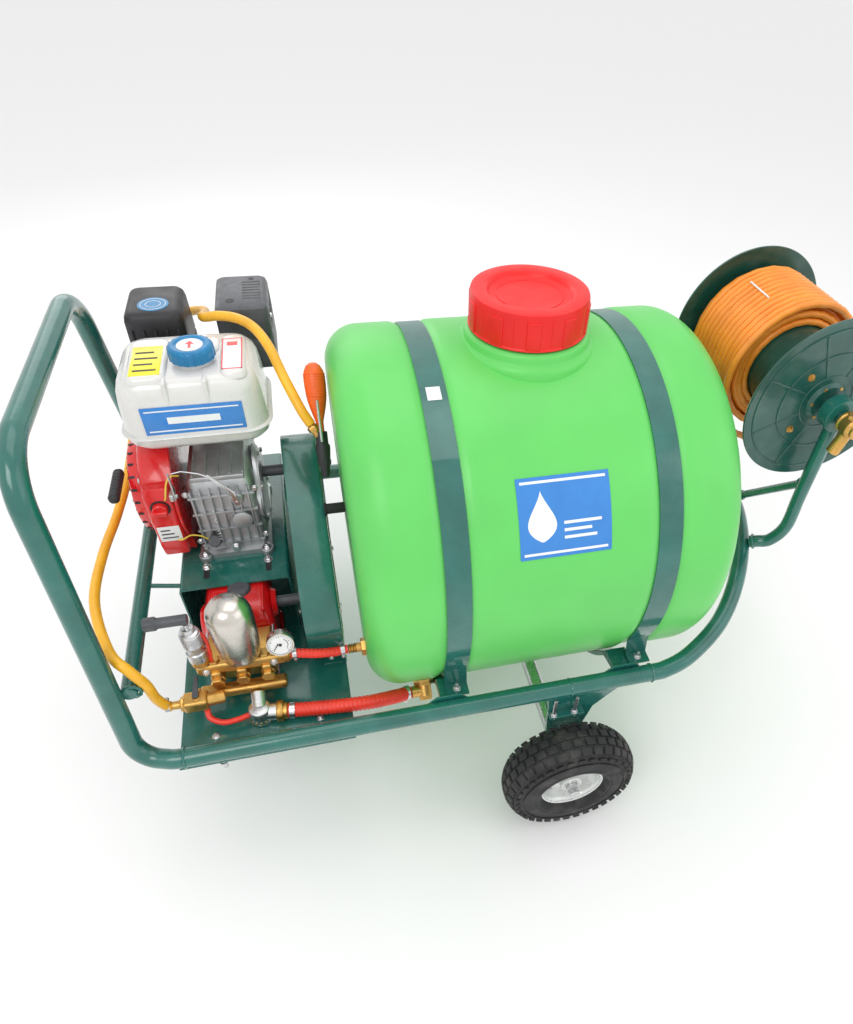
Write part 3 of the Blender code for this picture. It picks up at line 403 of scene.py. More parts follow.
def make_frame():
    """Handle, rails, nose, saddles, straps, tray and the table under the engine."""
    half = [(RAIL_START, -RAIL_Y, RAIL_Z), (RAIL_START - 0.013, -RAIL_Y, RAIL_Z), (-0.659, -0.333, RAIL_Z),
        (-0.667, -0.232, 0.83)]
    corners = half + [(x, -y, z) for x, y, z in reversed(half)]
    path = rounded_path(corners, (0.05, 0.04, 0.085, 0.085, 0.04, 0.05), 14)
    handle = Shape().sweep(path, TUBE_R, 36)
    cross_x, cross_z = -0.638, 0.45
    handle.rod(0.0125, (cross_x, -0.304, cross_z), (cross_x, 0.304, cross_z), 32)
    handle.rod(0.004, (-0.5815, -0.075, 0.438), (cross_x, -0.075, cross_z), 14)
    for side in (-1, 1):
        bead(handle, (cross_x + 0.004, side * 0.2985, cross_z), Y, 0.0125, 0.0028)
    handle.done("push_handle_tube", FRAME_GREEN, stands_for="push_handle")

    for side, name in SIDES:
        rail = Shape().sweep([(RAIL_START + GAP, side * RAIL_Y, RAIL_Z), (-0.3, side * RAIL_Y, RAIL_Z),
            (0.0, side * RAIL_Y, RAIL_Z), (RAIL_END, side * RAIL_Y, RAIL_Z)], TUBE_R, 36)
        bead(rail, (RAIL_END - 0.002, side * RAIL_Y, RAIL_Z), X, TUBE_R - 0.0005, 0.0024)
        bead(rail, (RAIL_START + 0.003, side * RAIL_Y, RAIL_Z), X, TUBE_R - 0.0005, 0.0024)
        bead(rail, (0.062, side * RAIL_Y, RAIL_Z), X, TUBE_R - 0.0008, 0.002)
        rail.done("rail_tube_" + name, FRAME_GREEN, stands_for="rail_" + name)

    half_nose = [(RAIL_END + GAP, 0.35, 0.327), (0.24, 0.35, 0.327), (0.3, 0.336, 0.34), (0.38, 0.288, 0.365),
        (0.445, 0.213, 0.398), (0.497, 0.115, 0.42)]
    nose = [(x, -y, z) for x, y, z in half_nose] + [(0.528, 0.0, 0.423)] + half_nose[::-1]
    Shape().sweep(smooth_path(nose, 10), TUBE_R, 36).done("nose_tube", FRAME_GREEN, stands_for="nose_loop")

    # saddles: a bent flat bar under the tank, with a tab out to each rail
    cradle_r, bar, reach = TANK_R + 0.004, 0.008, 31.0
    tab_z, tab_y = RAIL_Z - TANK_Z, RAIL_Y - TUBE_R - GAP
    cradle = (arc(cradle_r, -180 + reach, -reach, 60) + [(tab_y, tab_z), (tab_y, tab_z - 0.01)]
        + arc(cradle_r + bar, -reach - 3, -180 + reach + 3, 60) + [(-tab_y, tab_z - 0.01), (-tab_y, tab_z)])
    for x, name in ((-0.15, "rear"), (0.175, "front")):
        Shape().plate(cradle, 0.038, (x, 0, TANK_Z), "X", 0.0008).done("saddle_bar_" + name, FRAME_GREEN,
            stands_for="tank_saddle_" + name)
        for side in (-1, 1):
            # the upright plate that joins the rail to the tank beside each saddle, on the rail's inner side
            gusset = Shape()
            gusset.plate([(x - 0.045, RAIL_Z + 0.003), (x + 0.03, RAIL_Z + 0.003), (x + 0.014, RAIL_Z + 0.02),
                (x - 0.026, RAIL_Z + 0.02)], 0.003, (0, side * (RAIL_Y - 0.0145), 0), "Y", 0.0005)
            gusset.done(f"saddle_gusset_{name}_{'near' if side < 0 else 'far'}", FRAME_GREEN)

    # straps, with a folded foot and a long tie bolt at each end
    strap_r, thick, low = TANK_R - GROOVE + 0.0006, 0.0025, -24.0
    foot_y, foot_z = 0.326, RAIL_Z - TANK_Z + 0.0006
    band = (arc(strap_r, 180 - low, low, 120) + [(foot_y - 0.026, foot_z), (foot_y, foot_z),
        (foot_y, foot_z + thick), (foot_y - 0.024, foot_z + thick)]
        + arc(strap_r + thick, low, 180 - low, 120) + [(-foot_y + 0.024, foot_z + thick),
        (-foot_y, foot_z + thick), (-foot_y, foot_z), (-foot_y + 0.026, foot_z)])
    for side, name in ((-1, "rear"), (1, "front")):
        x = TANK_X + side * STRAP_OFFSET
        Shape().plate(band, STRAP_W, (x, 0, TANK_Z), "X", 0.0006).done("strap_band_" + name, FRAME_GREEN,
            stands_for="tank_strap_" + name)
        ties = Shape()
        for edge in (-1, 1):
            top = foot_z + TANK_Z + thick
            ties.bolt((x, edge * 0.312, top), Z, 0.0062, stud=0.009)
            ties.rod(0.0031, (x, edge * 0.312, top - 0.05), (x, edge * 0.312, top), 16)
            ties.bolt((x, edge * 0.312, top - 0.0225), (0, 0, -1), 0.0062)
        ties.done("strap_bolts_" + name, STEEL)

    tray = Shape()
    tray.box((-0.6, -0.36, TRAY_TOP - 0.004), (-0.32, 0.36, TRAY_TOP), 0.0012)
    tray.rod(0.019, (CASTER_X, 0, 0.16), (CASTER_X, 0, TRAY_TOP - 0.002), 36)
    tray.box((CASTER_X - 0.035, -0.035, 0.16), (CASTER_X + 0.035, 0.035, 0.165), 0.001)
    bead(tray, (CASTER_X, 0, 0.1665), Z, 0.019, 0.0028)
    for side in (-1, 1):
        tray.box((-0.5995, side * 0.3 - 0.0015, TRAY_TOP - 0.018),
            (-0.3205, side * 0.3 + 0.0015, TRAY_TOP - 0.003), 0.0006)
    tray.done("tray_sheet", FRAME_GREEN, stands_for="base_tray")
    studs = Shape()
    for x, y in ((-0.545, -0.31), (-0.375, -0.31), (-0.545, 0.33), (-0.375, 0.33)):
        studs.bolt((x, y, TRAY_TOP), Z, 0.0055, stud=0.003)
    studs.rod(0.004, (-0.534, -0.352, 0.282), (-0.534, -0.352, RAIL_Z - TUBE_R + 0.001), 18)
    studs.bolt((-0.534, -0.352, 0.3005), (0, 0, -1), 0.0065)
    for x in (CASTER_X - 0.026, CASTER_X + 0.026):
        for y in (-0.026, 0.026):
            studs.bolt((x, y, 0.165), Z, 0.0045)
    studs.done("tray_bolts", STEEL)

    # the bent sheet table under the engine, with slots for the engine's foot bolts
    sheet, x0, x1, y0, y1 = 0.003, -0.58, -0.395, -0.1, 0.27
    low_z = TRAY_TOP + GAP
    corner = 0.006
    outer = [(x1, low_z)] + arc(corner, 0, 90, 6, (x1 - corner, TABLE_Z - corner)) + arc(corner, 90, 180, 6,
        (x0 + corner, TABLE_Z - corner)) + [(x0, low_z)]
    inner = [(x0 + sheet, low_z)] + arc(corner - sheet, 180, 90, 6,
        (x0 + corner, TABLE_Z - corner)) + arc(corner - sheet, 90, 0, 6,
        (x1 - corner, TABLE_Z - corner)) + [(x1 - sheet, low_z)]
    Shape().plate(outer + inner, y1 - y0, (0, (y0 + y1) / 2, 0), "Y", 0.0005).done("table_sheet", FRAME_GREEN,
        stands_for="engine_table")
    # The slots are flat black patches on the table top: painted shade standing in for the dark seen through
    # each slot.
    slot_shade = Shape()
    for x in (-0.535, -0.43):
        for y in (-0.062, 0.205):
            slot_shade.box((x - 0.005, y - 0.016, TABLE_Z - 0.0005), (x + 0.005, y + 0.016, TABLE_Z + 0.0004), 0)
    slot_shade.done("table_slot_shade", BLACK)
    feet = Shape()
    for x in (-0.535, -0.43):
        feet.bolt((x, -0.05, TABLE_Z + 0.0004), Z, 0.0068, stud=0.004)
        feet.bolt((x, 0.192, TABLE_Z + 0.0004), Z, 0.0068, stud=0.004)
    for y in (-0.08, 0.25):
        for x, way in ((x0, -1), (x1, 1)):
            feet.bolt((x, y, 0.33), (way, 0, 0), 0.005)
    feet.done("table_bolts", STEEL)


# ---------------------------------------------------------------- wheels
def block(tyre, size, move, front_only=False):
    """A tread block. One that sits on the crown keeps its lower edges sharp."""
    before = set(tyre.bm.verts)
    made = bmesh.ops.create_cube(tyre.bm, size=1.0)
    bmesh.ops.scale(tyre.bm, vec=size, verts=made["verts"])
    edges = [e for e in edges_of(made["verts"]) if not front_only or all(v.co.x > 0 for v in e.verts)]
    bmesh.ops.bevel(tyre.bm, geom=edges, offset=0.0009, segments=2, profile=0.5, affect="EDGES")
    tyre.settle(before, move)


def make_wheels():
    """Two turf tyres on dished rims, the axle and its brackets."""
    half = WHEEL_W / 2
    for side, name in SIDES:
        hub = (WHEEL_X, side * TRACK, WHEEL_R)
        carcass_r = WHEEL_R - 0.0042
        tyre = Shape()
        wall = [(RIM_R + 0.001, half * 0.62)]
        for k in range(33):
            t = math.pi * k / 32
            wall.append((RIM_R + 0.012 + (carcass_r - RIM_R - 0.012) * math.sin(t) ** 0.66,
                half * 0.985 * math.copysign(abs(math.cos(t)) ** 0.72, math.cos(t))))
        wall.append((RIM_R + 0.001, -half * 0.62))
        tyre.lathe(wall, hub, Y, 120)
        # sidewall rings
        for edge in (-1, 1):
            for r, lift in ((0.076, 0.978), (0.1, 0.962)):
                tyre.sweep(circle(r, 96, (hub[0], hub[1] + edge * half * lift, hub[2]), "Y"),
                    0.0014, 6, caps=False)
        # staggered tread blocks, four rows round the crown and one shoulder row each side
        count = 34
        rows = ((-0.0242, 0.014, 0.0, 0.0056), (-0.0082, 0.014, 0.5, 0.0008), (0.0082, 0.014, 0.0, 0.0008),
            (0.0242, 0.014, 0.5, 0.0056))
        length = 2 * math.pi * WHEEL_R / count * 0.72
        for y, width, shift, drop in rows:
            tilt = math.copysign(0.44 if abs(y) > 0.02 else 0.1, y)
            for angle, _, _ in around(count, shift):
                block(tyre, (0.009, width, length), Matrix.Translation(hub) @ Matrix.Rotation(-angle, 4, "Y")
                    @ Matrix.Translation((WHEEL_R - 0.0047 - drop, y, 0))
                    @ Matrix.Rotation(tilt, 4, "Z"), True)
        for edge in (-1, 1):
            for angle, _, _ in around(count, 0.5 if edge < 0 else 0.0):
                block(tyre, (0.0045, 0.01, 0.0135), Matrix.Translation(hub) @ Matrix.Rotation(-angle, 4, "Y")
                    @ Matrix.Translation((WHEEL_R - 0.0195, edge * 0.0372, 0))
                    @ Matrix.Rotation(math.radians(-edge * 50), 4, "Z"))
        tyre.done("turf_tyre_" + name, TYRE, "wheel_" + name, "tyre_" + name)

        rim = Shape(hub)
        seat = RIM_R - GAP
        shell = [(seat, 0.028), (seat + 0.0045, 0.0295), (seat + 0.0055, 0.0285), (seat - 0.001, 0.0255),
            (seat - 0.004, 0.02), (seat - 0.0055, 0.004), (seat - 0.012, -0.004), (0.03, -0.006),
            (0.0215, -0.003), (0.0215, 0.024), (0.02, 0.0255), (0.0108, 0.0255), (0.0108, -0.0255),
            (0.02, -0.0255), (0.0215, -0.024), (0.0215, -0.0065), (0.03, -0.0085), (seat - 0.012, -0.007),
            (seat - 0.0055, -0.01), (seat - 0.004, -0.02), (seat - 0.001, -0.0255), (seat + 0.0055, -0.0285),
            (seat + 0.0045, -0.0295), (seat, -0.028)]
        rim.lathe([(r, side * h) for r, h in shell], axis=Y, steps=96)
        for _, c, s in around(5, start=0.3):
            rim.lathe([(0, 0.0022), (0.0045, 0.0022), (0.0056, 0), (0, 0)],
                (0.0395 * c, side * -0.0036, 0.0395 * s), (0, side, 0), 24)
        rim.done("wheel_rim_" + name, RIM_PAINT, "wheel_" + name, "rim_" + name)
        nuts = Shape(hub)
        for _, c, s in around(5, 0.5, 0.3):
            nuts.bolt((0.0335 * c, side * -0.005, 0.0335 * s), (0, side, 0), 0.0045, stud=0.002)
        valve_a = math.radians(200)
        at = Vector((0.0465 * math.cos(valve_a), 0, 0.0465 * math.sin(valve_a)))
        nuts.rod(0.0032, at, at + Vector((-0.006 * math.cos(valve_a), side * 0.02,
            -0.006 * math.sin(valve_a))), 16)
        nuts.done("wheel_nuts_" + name, STEEL, "wheel_" + name)

    end = TRACK + half * 0.75 + 0.0003
    axle = Shape((WHEEL_X, 0, WHEEL_R))
    profile = [(0, 0.461), (0.0085, 0.461), (0.01, 0.4595), (0.01, end), (0.01, 0.366),
        (0.0155, 0.366), (0.016, 0.3655)]
    axle.lathe(profile + [(r, -h) for r, h in reversed(profile)], axis=Y, steps=40)
    for side in (-1, 1):
        axle.bolt((0, side * end, 0), (0, side, 0), 0.0125)
    axle.done("axle_bar", STEEL, stands_for="axle")

    top = RAIL_Z - TUBE_R - GAP
    bracket = [(-0.04, top), (0.1, top), (0.094, top - 0.01), (0.052, top - 0.055),
        (0.03, WHEEL_R + 0.03)] + arc(0.028, 20, -200, 24, (0, WHEEL_R)) + [(-0.032, WHEEL_R + 0.06),
        (-0.036, top - 0.04)]
    for side, name in SIDES:
        y = side * RAIL_Y
        plate = Shape()
        plate.plate(bracket, 0.006, (WHEEL_X, y, 0), "Y", 0.0008)
        plate.box((WHEEL_X - 0.036, y - 0.019, top - 0.052), (WHEEL_X + 0.03, y + 0.019, top - 0.047), 0.001)
        plate.lathe([(0.0215, 0.01), (0.0215, -0.01), (0.0163, -0.01), (0.0163, 0.01)],
            (WHEEL_X, y, WHEEL_R), Y, 40)
        plate.done("axle_plate_" + name, FRAME_GREEN, stands_for="axle_bracket_" + name)
        ubolt = Shape()
        for x in (WHEEL_X - 0.028, WHEEL_X + 0.012):
            for dy in (-0.012, 0.012):
                ubolt.rod(0.0032, (x, y + dy, top - 0.06), (x, y + dy, top - 0.001), 16)
                ubolt.bolt((x, y + dy, top - 0.047), Z, 0.0058)
                ubolt.bolt((x, y + dy, top - 0.052), (0, 0, -1), 0.0058)
        ubolt.done("axle_bracket_bolts_" + name, STEEL)


def make_caster():
    """The swivel caster under the handle end."""
    x = CASTER_X - CASTER_TRAIL
    wheel = Shape((x, 0, CASTER_R))
    wheel.lathe([(0.036, 0.015), (0.044, 0.0158), (0.0485, 0.0125), (0.05, 0.006), (0.05, -0.006),
        (0.0485, -0.0125), (0.044, -0.0158), (0.036, -0.015), (0.0352, -0.014),
        (0.0352, 0.014)], axis=Y, steps=80)
    wheel.done("caster_tread", RUBBER, "caster_wheel")
    core = Shape((x, 0, CASTER_R))
    core.lathe([(0.0351, 0.0145), (0.0351, -0.0145), (0.032, -0.0145), (0.03, -0.006), (0.014, -0.005),
        (0.0125, -0.0155), (0.0056, -0.0155), (0.0056, 0.0155), (0.0125, 0.0155), (0.014, 0.005),
        (0.03, 0.006), (0.032, 0.0145)], axis=Y, steps=64)
    for angle, _, _ in around(8):
        turn = Matrix.Rotation(-angle, 3, "Y")
        mid, reach = turn @ Vector((0.0225, 0, 0)), Vector((0.009, 0.0125, 0.0012))
        core.box(mid - reach, mid + reach, 0.0004, 2, turn)
    core.done("caster_core", GREY, "caster_wheel", "caster_wheel")

    crown, inside, cheek = 0.159, 0.019, 0.003
    fork = Shape()
    fork.lathe([(0, crown), (0.026, crown), (0.0265, crown - 0.002), (0.0265, crown - 0.006),
        (0.024, crown - 0.007), (0.024, crown - 0.009), (0.026, crown - 0.01), (0.026, crown - 0.016),
        (0, crown - 0.016)], (CASTER_X, 0, 0), Z, 64)
    for side in (-1, 1):
        shape = [(-0.022, crown - 0.01), (0.024, crown - 0.01), (0.02, crown - 0.03),
            (-CASTER_TRAIL + 0.0125, CASTER_R)] + arc(0.0125, 0, -180, 14,
            (-CASTER_TRAIL, CASTER_R)) + [(-CASTER_TRAIL - 0.0125, CASTER_R + 0.004), (-0.03, crown - 0.04)]
        fork.plate(shape, cheek, (CASTER_X, side * (inside + cheek / 2), 0), "Y", 0.0006)
    fork.box((CASTER_X - 0.022, -inside - cheek / 2, crown - 0.018),
        (CASTER_X + 0.022, inside + cheek / 2, crown - 0.0105), 0.0015)
    fork.rod(0.005, (x, -inside - 0.006, CASTER_R), (x, inside + 0.006, CASTER_R), 24)
    for side in (-1, 1):
        fork.bolt((x, side * (inside + cheek), CASTER_R), (0, side, 0), 0.0062, washer=False)
    fork.done("caster_fork_steel", STEEL, "caster_fork", "caster_fork")


# ---------------------------------------------------------------- tank
def make_tank():
    """The barrel with its grooves, collar, strainer, lid, labels and fittings."""
    corner, edge = 0.06, TANK_HALF - 0.06
    groove_half = STRAP_W / 2 + 0.004
    low, high, floor_r = STRAP_OFFSET - groove_half, STRAP_OFFSET + groove_half, TANK_R - GROOVE
    half = [(TANK_R - 0.0004, 0.0), (TANK_R, low - 0.024), (TANK_R, low - 0.009),
        (TANK_R - 0.0012, low - 0.0045), (floor_r + 0.0012, low + 0.0005), (floor_r, low + 0.004),
        (floor_r, high - 0.004), (floor_r + 0.0012, high - 0.0005), (TANK_R - 0.0012, high + 0.0045),
        (TANK_R, high + 0.009), (TANK_R, high + 0.024)]
    half += [(r, h) for h, r in arc(corner, 90, 0, 14, (edge, TANK_R - corner))]
    half += [(TANK_R - corner - 0.03, TANK_HALF), (TANK_R - corner - 0.036, TANK_HALF - 0.0016),
        (TANK_R - corner - 0.044, TANK_HALF - 0.0016), (0.15, TANK_HALF - 0.0008), (0, TANK_HALF - 0.0004)]
    profile = [(r, h) for r, h in reversed(half)] + [(r, -h) for r, h in half[1:]]
    shell = Shape((TANK_X, 0, TANK_Z))
    shell.lathe(profile, axis=X, steps=160)
    # the mould's parting line round the middle of both ends
    for side in (-1, 1):
        seam = [(side * (TANK_HALF - 0.0009), -0.255 + 0.01 * k, 0) for k in range(52)]
        shell.sweep(seam, 0.0011, 6)
    shell.done("barrel_tank", TANK_GREEN, stands_for="tank_shell", sharp=50)

    collar = Shape((TANK_X, 0, 0))
    ring = [(0.0805, NECK_TOP), (0.0835, NECK_TOP), (0.085, NECK_TOP - 0.0015), (0.085, 0.8385),
        (0.0935, 0.838), (0.0985, 0.836), (0.1005, 0.832), (0.1005, 0.8245), (0.1012, 0.8225),
        (0.106, 0.8205), (0.11, 0.8165), (0.1115, 0.811), (0.1118, 0.799), (0.114, 0.79), (0.12, 0.78),
        (0.124, 0.77), (0.124, 0.75), (0.0805, 0.75)]
    collar.lathe(ring, steps=128)
    collar.done("filler_collar", TANK_GREEN, sharp=50)

    basket = Shape((TANK_X, 0, 0))
    rim_z = NECK_TOP + GAP
    basket.lathe([(0.0855, rim_z + 0.002), (0.0855, rim_z), (0.079, rim_z), (0.069, 0.762), (0, 0.762),
        (0, 0.764), (0.067, 0.764), (0.0765, rim_z + 0.002)], steps=96)
    for _, c, s in around(24):
        basket.sweep([(0.0695 * c, 0.0695 * s, 0.763), (0.0788 * c, 0.0788 * s, 0.84)], 0.0011, 6)
    for k in range(9):
        r = 0.0695 + 0.0095 * k / 8
        basket.sweep(circle(r, 64, (0, 0, 0.764 + 0.0085 * k)), 0.0009, 6, caps=False)
    basket.done("strainer_basket", BLACK, stands_for="filler_strainer")

    lid = Shape((TANK_X, 0, 0))
    top, r, low_z = LID_TOP, LID_R - 0.002, NECK_TOP - 0.012
    lid.lathe([(0, top - 0.011), (0.04, top - 0.0108), (0.058, top - 0.01), (0.0635, top - 0.0078),
        (0.0665, top - 0.003), (0.0695, top - 0.0006), (0.074, top), (0.086, top), (0.0915, top - 0.0012),
        (r, top - 0.0055), (r, low_z + 0.0035), (r + 0.0018, low_z + 0.0015), (r + 0.0018, low_z),
        (r - 0.0025, low_z), (r - 0.0028, low_z + 0.001), (r - 0.0028, top - 0.018),
        (0, top - 0.018)], steps=144)
    for angle, _, _ in around(10, start=0.12):
        turn = Matrix.Rotation(angle, 3, "Z")
        place = turn @ Vector((r - 0.0004, 0, 0.8645))
        lid.box(place - Vector((0.0022, 0.011, 0.0215)),
            place + Vector((0.0022, 0.011, 0.0215)), 0.002, 4, turn)
    for _, c, s in around(30):
        lid.sweep([((r - 0.0002) * c, (r - 0.0002) * s, low_z + 0.004),
            ((r - 0.0002) * c, (r - 0.0002) * s, top - 0.008)], 0.0008, 6)
    lid.sweep(circle(0.052, 96, (0, 0, top - 0.0104)), 0.001, 6, caps=False)
    lid.done("screw_lid", LID_RED, "tank_lid", "tank_lid", sharp=32)

    def wrapped(name, x0, x1, a0, a1, radius, paint, thick=0.0005, steps=20):
        """A sticker that follows the barrel's curve, angles in degrees from +Y."""
        label = Shape((0, 0, TANK_Z))
        outline = arc(radius, a0, a1, steps)
        outline += [(y * (radius + thick) / radius, z * (radius + thick) / radius)
            for y, z in reversed(outline)]
        label.plate(outline, x1 - x0, ((x0 + x1) / 2, 0, 0), "X", 0)
        return label.done(name, paint)

    r = TANK_R + 0.0002
    x0, x1, a0, a1 = -0.041, 0.105, 136.2, 158.0
    wrapped("tank_label", x0, x1, a0, a1, r, LABEL_BLUE)
    wrapped("tank_label_rule_top", x0 + 0.006, x1 - 0.006, a0 + 1.0, a0 + 1.7, r + 0.0004,
        LABEL_WHITE, 0.0003)
    wrapped("tank_label_rule_low", x0 + 0.006, x1 - 0.006, a1 - 1.7, a1 - 1.0, r + 0.0004,
        LABEL_WHITE, 0.0003)
    for k, wide in enumerate((0.06, 0.044, 0.052)):
        wrapped(f"tank_label_bar_{k}", x0 + 0.07, x0 + 0.07 + wide, a0 + 12.2 + 2.0 * k, a0 + 13.0 + 2.0 * k,
            r + 0.0004, LABEL_WHITE, 0.0003)
    # a plain drop
    drop, rows, skin, film = Shape((0, 0, TANK_Z)), 40, r + 0.0004, r + 0.0007
    corners = ((-1, skin), (1, skin), (1, film), (-1, film))
    rings = []
    for k in range(rows + 1):
        t = min(max(k / rows, 0.004), 0.996)
        wide = 0.0225 * (math.sin(math.pi * t ** 1.7) ** 0.8)
        angle = math.radians(a0 + 3.6 + 13.7 * t)
        rings.append(drop.ring((x0 + 0.036 + side * wide, out * math.cos(angle), out * math.sin(angle))
            for side, out in corners))
    drop.bridge(rings)
    drop.ends(rings[0], rings[-1])
    drop.settle((), Matrix())
    drop.done("tank_label_drop", LABEL_WHITE)
    wrapped("strap_sticker", -0.1475, -0.1262, 108.4, 112.6, TANK_R - GROOVE + 0.0033, LABEL_WHITE, 0.0003)

    end_x = TANK_X - TANK_HALF
    y, z = -0.23, 0.385
    fitting = Shape()
    fitting.lathe(boss(0.0155, 0.0145, 0.008, 0.0065), (end_x + 0.0004, y, z), (-1, 0, 0), 6)
    fitting.rod(0.0085, (end_x - 0.007, y, z), (end_x - 0.0165, y, z), 32)
    for k in range(3):
        fitting.rod(0.0086, (end_x - 0.0165 - 0.0045 * k, y, z),
            (end_x - 0.021 - 0.0045 * k, y, z), 32, tip=0.0072)
    fitting.done("return_spigot", BRASS, stands_for="return_fitting")

    down = Vector(SUMP_WAY)
    root = Vector((-0.187, 0, TANK_Z)) + down * (TANK_R + 0.0006)
    barb = root + down * 0.02
    sump = Shape()
    sump.lathe(boss(0.0185, 0.017, 0.01, 0.008), root, down, 6)
    sump.rod(0.0125, root + down * 0.009, root + down * 0.032, 36)
    sump.lathe(boss(0.012, 0.0105, 0.006, 0.0045), root + down * 0.0315, down, 6)
    sump.rod(0.0108, barb, barb + Vector((-0.025, 0, 0)), 36)
    sump.done("sump_elbow", BRASS, stands_for="sump_fitting")


# ---------------------------------------------------------------- engine
def rounded(cx, cy, hx, hy, r, z, steps=8):
    """A rounded rectangle ring across Z."""
    r = min(r, hx * 0.999, hy * 0.999)
    ring = []
    for sx, sy, start in ((1, 1, 0), (-1, 1, 90), (-1, -1, 180), (1, -1, 270)):
        ring += [(cx + sx * (hx - r) + px, cy + sy * (hy - r) + py, z)
            for px, py in arc(r, start, start + 90, steps)]
    return ring


def stack(shape, sections):
    """A closed skin over rounded rectangles (cx, cy, half x, half y, corner, z), from the bottom up."""
    before = set(shape.bm.verts)
    rings = [shape.ring(rounded(*section)) for section in sections]
    shape.bridge(rings)
    shape.ends(rings[0][::-1], rings[-1])
    return shape.settle(before, Matrix())


def make_engine():
    """Fuel tank, cap, stickers, air cleaner and muffler, then the parts below them."""
    cx, cy = -0.493, 0.08
    tank = Shape()
    stack(tank, [(cx, cy, 0.09, 0.068, 0.03, 0.6685), (cx, cy, 0.101, 0.079, 0.034, 0.672),
        (cx, cy, 0.1075, 0.085, 0.036, 0.68), (cx, cy, 0.1085, 0.086, 0.036, 0.6935),
        (cx, cy, 0.114, 0.091, 0.04, 0.6945), (cx, cy, 0.115, 0.092, 0.041, 0.6955),
        (cx, cy, 0.114, 0.091, 0.04, 0.6968), (cx, cy, 0.1095, 0.0868, 0.037, 0.698),
        (cx, cy, 0.1085, 0.0858, 0.036, 0.705), (cx, cy, 0.106, 0.0835, 0.036, 0.742),
        (cx, cy, 0.1035, 0.0812, 0.036, 0.762), (cx, cy, 0.0995, 0.0775, 0.035, 0.774),
        (cx, cy, 0.093, 0.0712, 0.032, 0.7815), (cx, cy, 0.085, 0.0635, 0.028, 0.7842)])
    for x0, x1 in ((-0.578, -0.517), (-0.443, -0.402)):
        mid, wide = (x0 + x1) / 2, (x1 - x0) / 2
        stack(tank, [(mid, 0.072, wide, 0.065, 0.016, 0.779),
            (mid, 0.072, wide - 0.002, 0.063, 0.015, 0.7862),
            (mid, 0.072, wide - 0.0045, 0.0605, 0.013, 0.7885),
            (mid, 0.072, wide - 0.009, 0.056, 0.01, 0.7893)])
    stack(tank, [(-0.48, 0.108, 0.038, 0.03, 0.018, 0.779), (-0.48, 0.108, 0.036, 0.028, 0.017, 0.7862),
        (-0.48, 0.108, 0.032, 0.024, 0.014, 0.7882)])
    tank.lathe([(0, 0.7925), (0.0255, 0.7925), (0.0265, 0.7915), (0.0265, 0.78), (0, 0.78)],
        (-0.48, 0.06, 0), Z, 64)
    for side in (-1, 1):
        tank.box((cx + side * 0.029 - 0.0035, -0.003, 0.735),
            (cx + side * 0.029 + 0.0035, 0.05, 0.7855), 0.003, 4)
    tank.done("fuel_tank_skin", FUEL_WHITE, stands_for="fuel_tank", sharp=44)

    cap_at = (-0.48, 0.06, 0)
    cap = Shape(cap_at)
    cap.lathe([(0, 0.8115), (0.0205, 0.8115), (0.0225, 0.8128), (0.0262, 0.8138), (0.03, 0.8128),
        (0.033, 0.8098), (0.0335, 0.806), (0.0332, 0.793), (0.0318, 0.7922), (0.0275, 0.7922),
        (0, 0.793)], steps=96)
    for _, c, s in around(18):
        cap.sweep([(0.0322 * c, 0.0322 * s, 0.7928), (0.0324 * c, 0.0324 * s, 0.806),
            (0.0306 * c, 0.0306 * s, 0.8112)], 0.0021, 8)
    cap.done("fuel_cap_ribbed", CAP_BLUE, "fuel_cap", "fuel_cap")
    disc = Shape(cap_at)
    disc.lathe([(0, 0.8122), (0.0188, 0.8122), (0.0194, 0.8116), (0, 0.8114)], steps=64)
    disc.done("fuel_cap_disc", LABEL_WHITE, "fuel_cap")
    mark = Shape(cap_at)
    mark.plate([(-0.002, -0.011), (0.002, -0.011), (0.002, 0.001), (0.0065, 0.001), (0.0, 0.011),
        (-0.0065, 0.001), (-0.002, 0.001)], 0.0004, (0, 0, 0.8124), "Z", 0)
    mark.done("fuel_cap_arrow", LABEL_RED, "fuel_cap")

    # plain stickers on the tank
    tilt = Matrix.Rotation(math.radians(-3.2), 3, "X")
    plate = Shape()
    plate.box((-0.5655, -0.0057, 0.7015), (-0.4175, -0.0049, 0.7475), 0.0003, 2, tilt)
    plate.done("fuel_label_front", LABEL_BLUE)
    stripe = Shape()
    stripe.box((-0.56, -0.0071, 0.7065), (-0.423, -0.0064, 0.7085), 0, 1, tilt)
    stripe.box((-0.56, -0.0053, 0.74), (-0.423, -0.0046, 0.742), 0, 1, tilt)
    stripe.box((-0.53, -0.0062, 0.719), (-0.453, -0.0055, 0.73), 0, 1, tilt)
    stripe.done("fuel_label_stripes", LABEL_WHITE)
    yellow = Shape()
    yellow.box((-0.57, 0.018, 0.7892), (-0.526, 0.106, 0.7897), 0.0002, 2)
    yellow.done("fuel_label_yellow", LABEL_YELLOW)
    lines = Shape()
    for k in range(4):
        lines.box((-0.565, 0.03 + 0.018 * k, 0.7896),
            (-0.532 - 0.006 * (k % 2), 0.0345 + 0.018 * k, 0.7899), 0)
    lines.done("fuel_label_yellow_bars", BLACK)
    notice = Shape()
    notice.box((-0.438, 0.02, 0.7892), (-0.408, 0.116, 0.7897), 0.0002, 2)
    notice.done("fuel_label_notice", LABEL_WHITE)
    border = Shape()
    for x0, x1, y0, y1 in ((-0.4385, -0.4365, 0.02, 0.116), (-0.4095, -0.4075, 0.02, 0.116),
            (-0.438, -0.408, 0.02, 0.022), (-0.438, -0.408, 0.114, 0.116), (-0.431, -0.415, 0.092, 0.104)):
        border.box((x0, y0, 0.7895), (x1, y1, 0.7899), 0)
    border.done("fuel_label_notice_border", LABEL_RED)

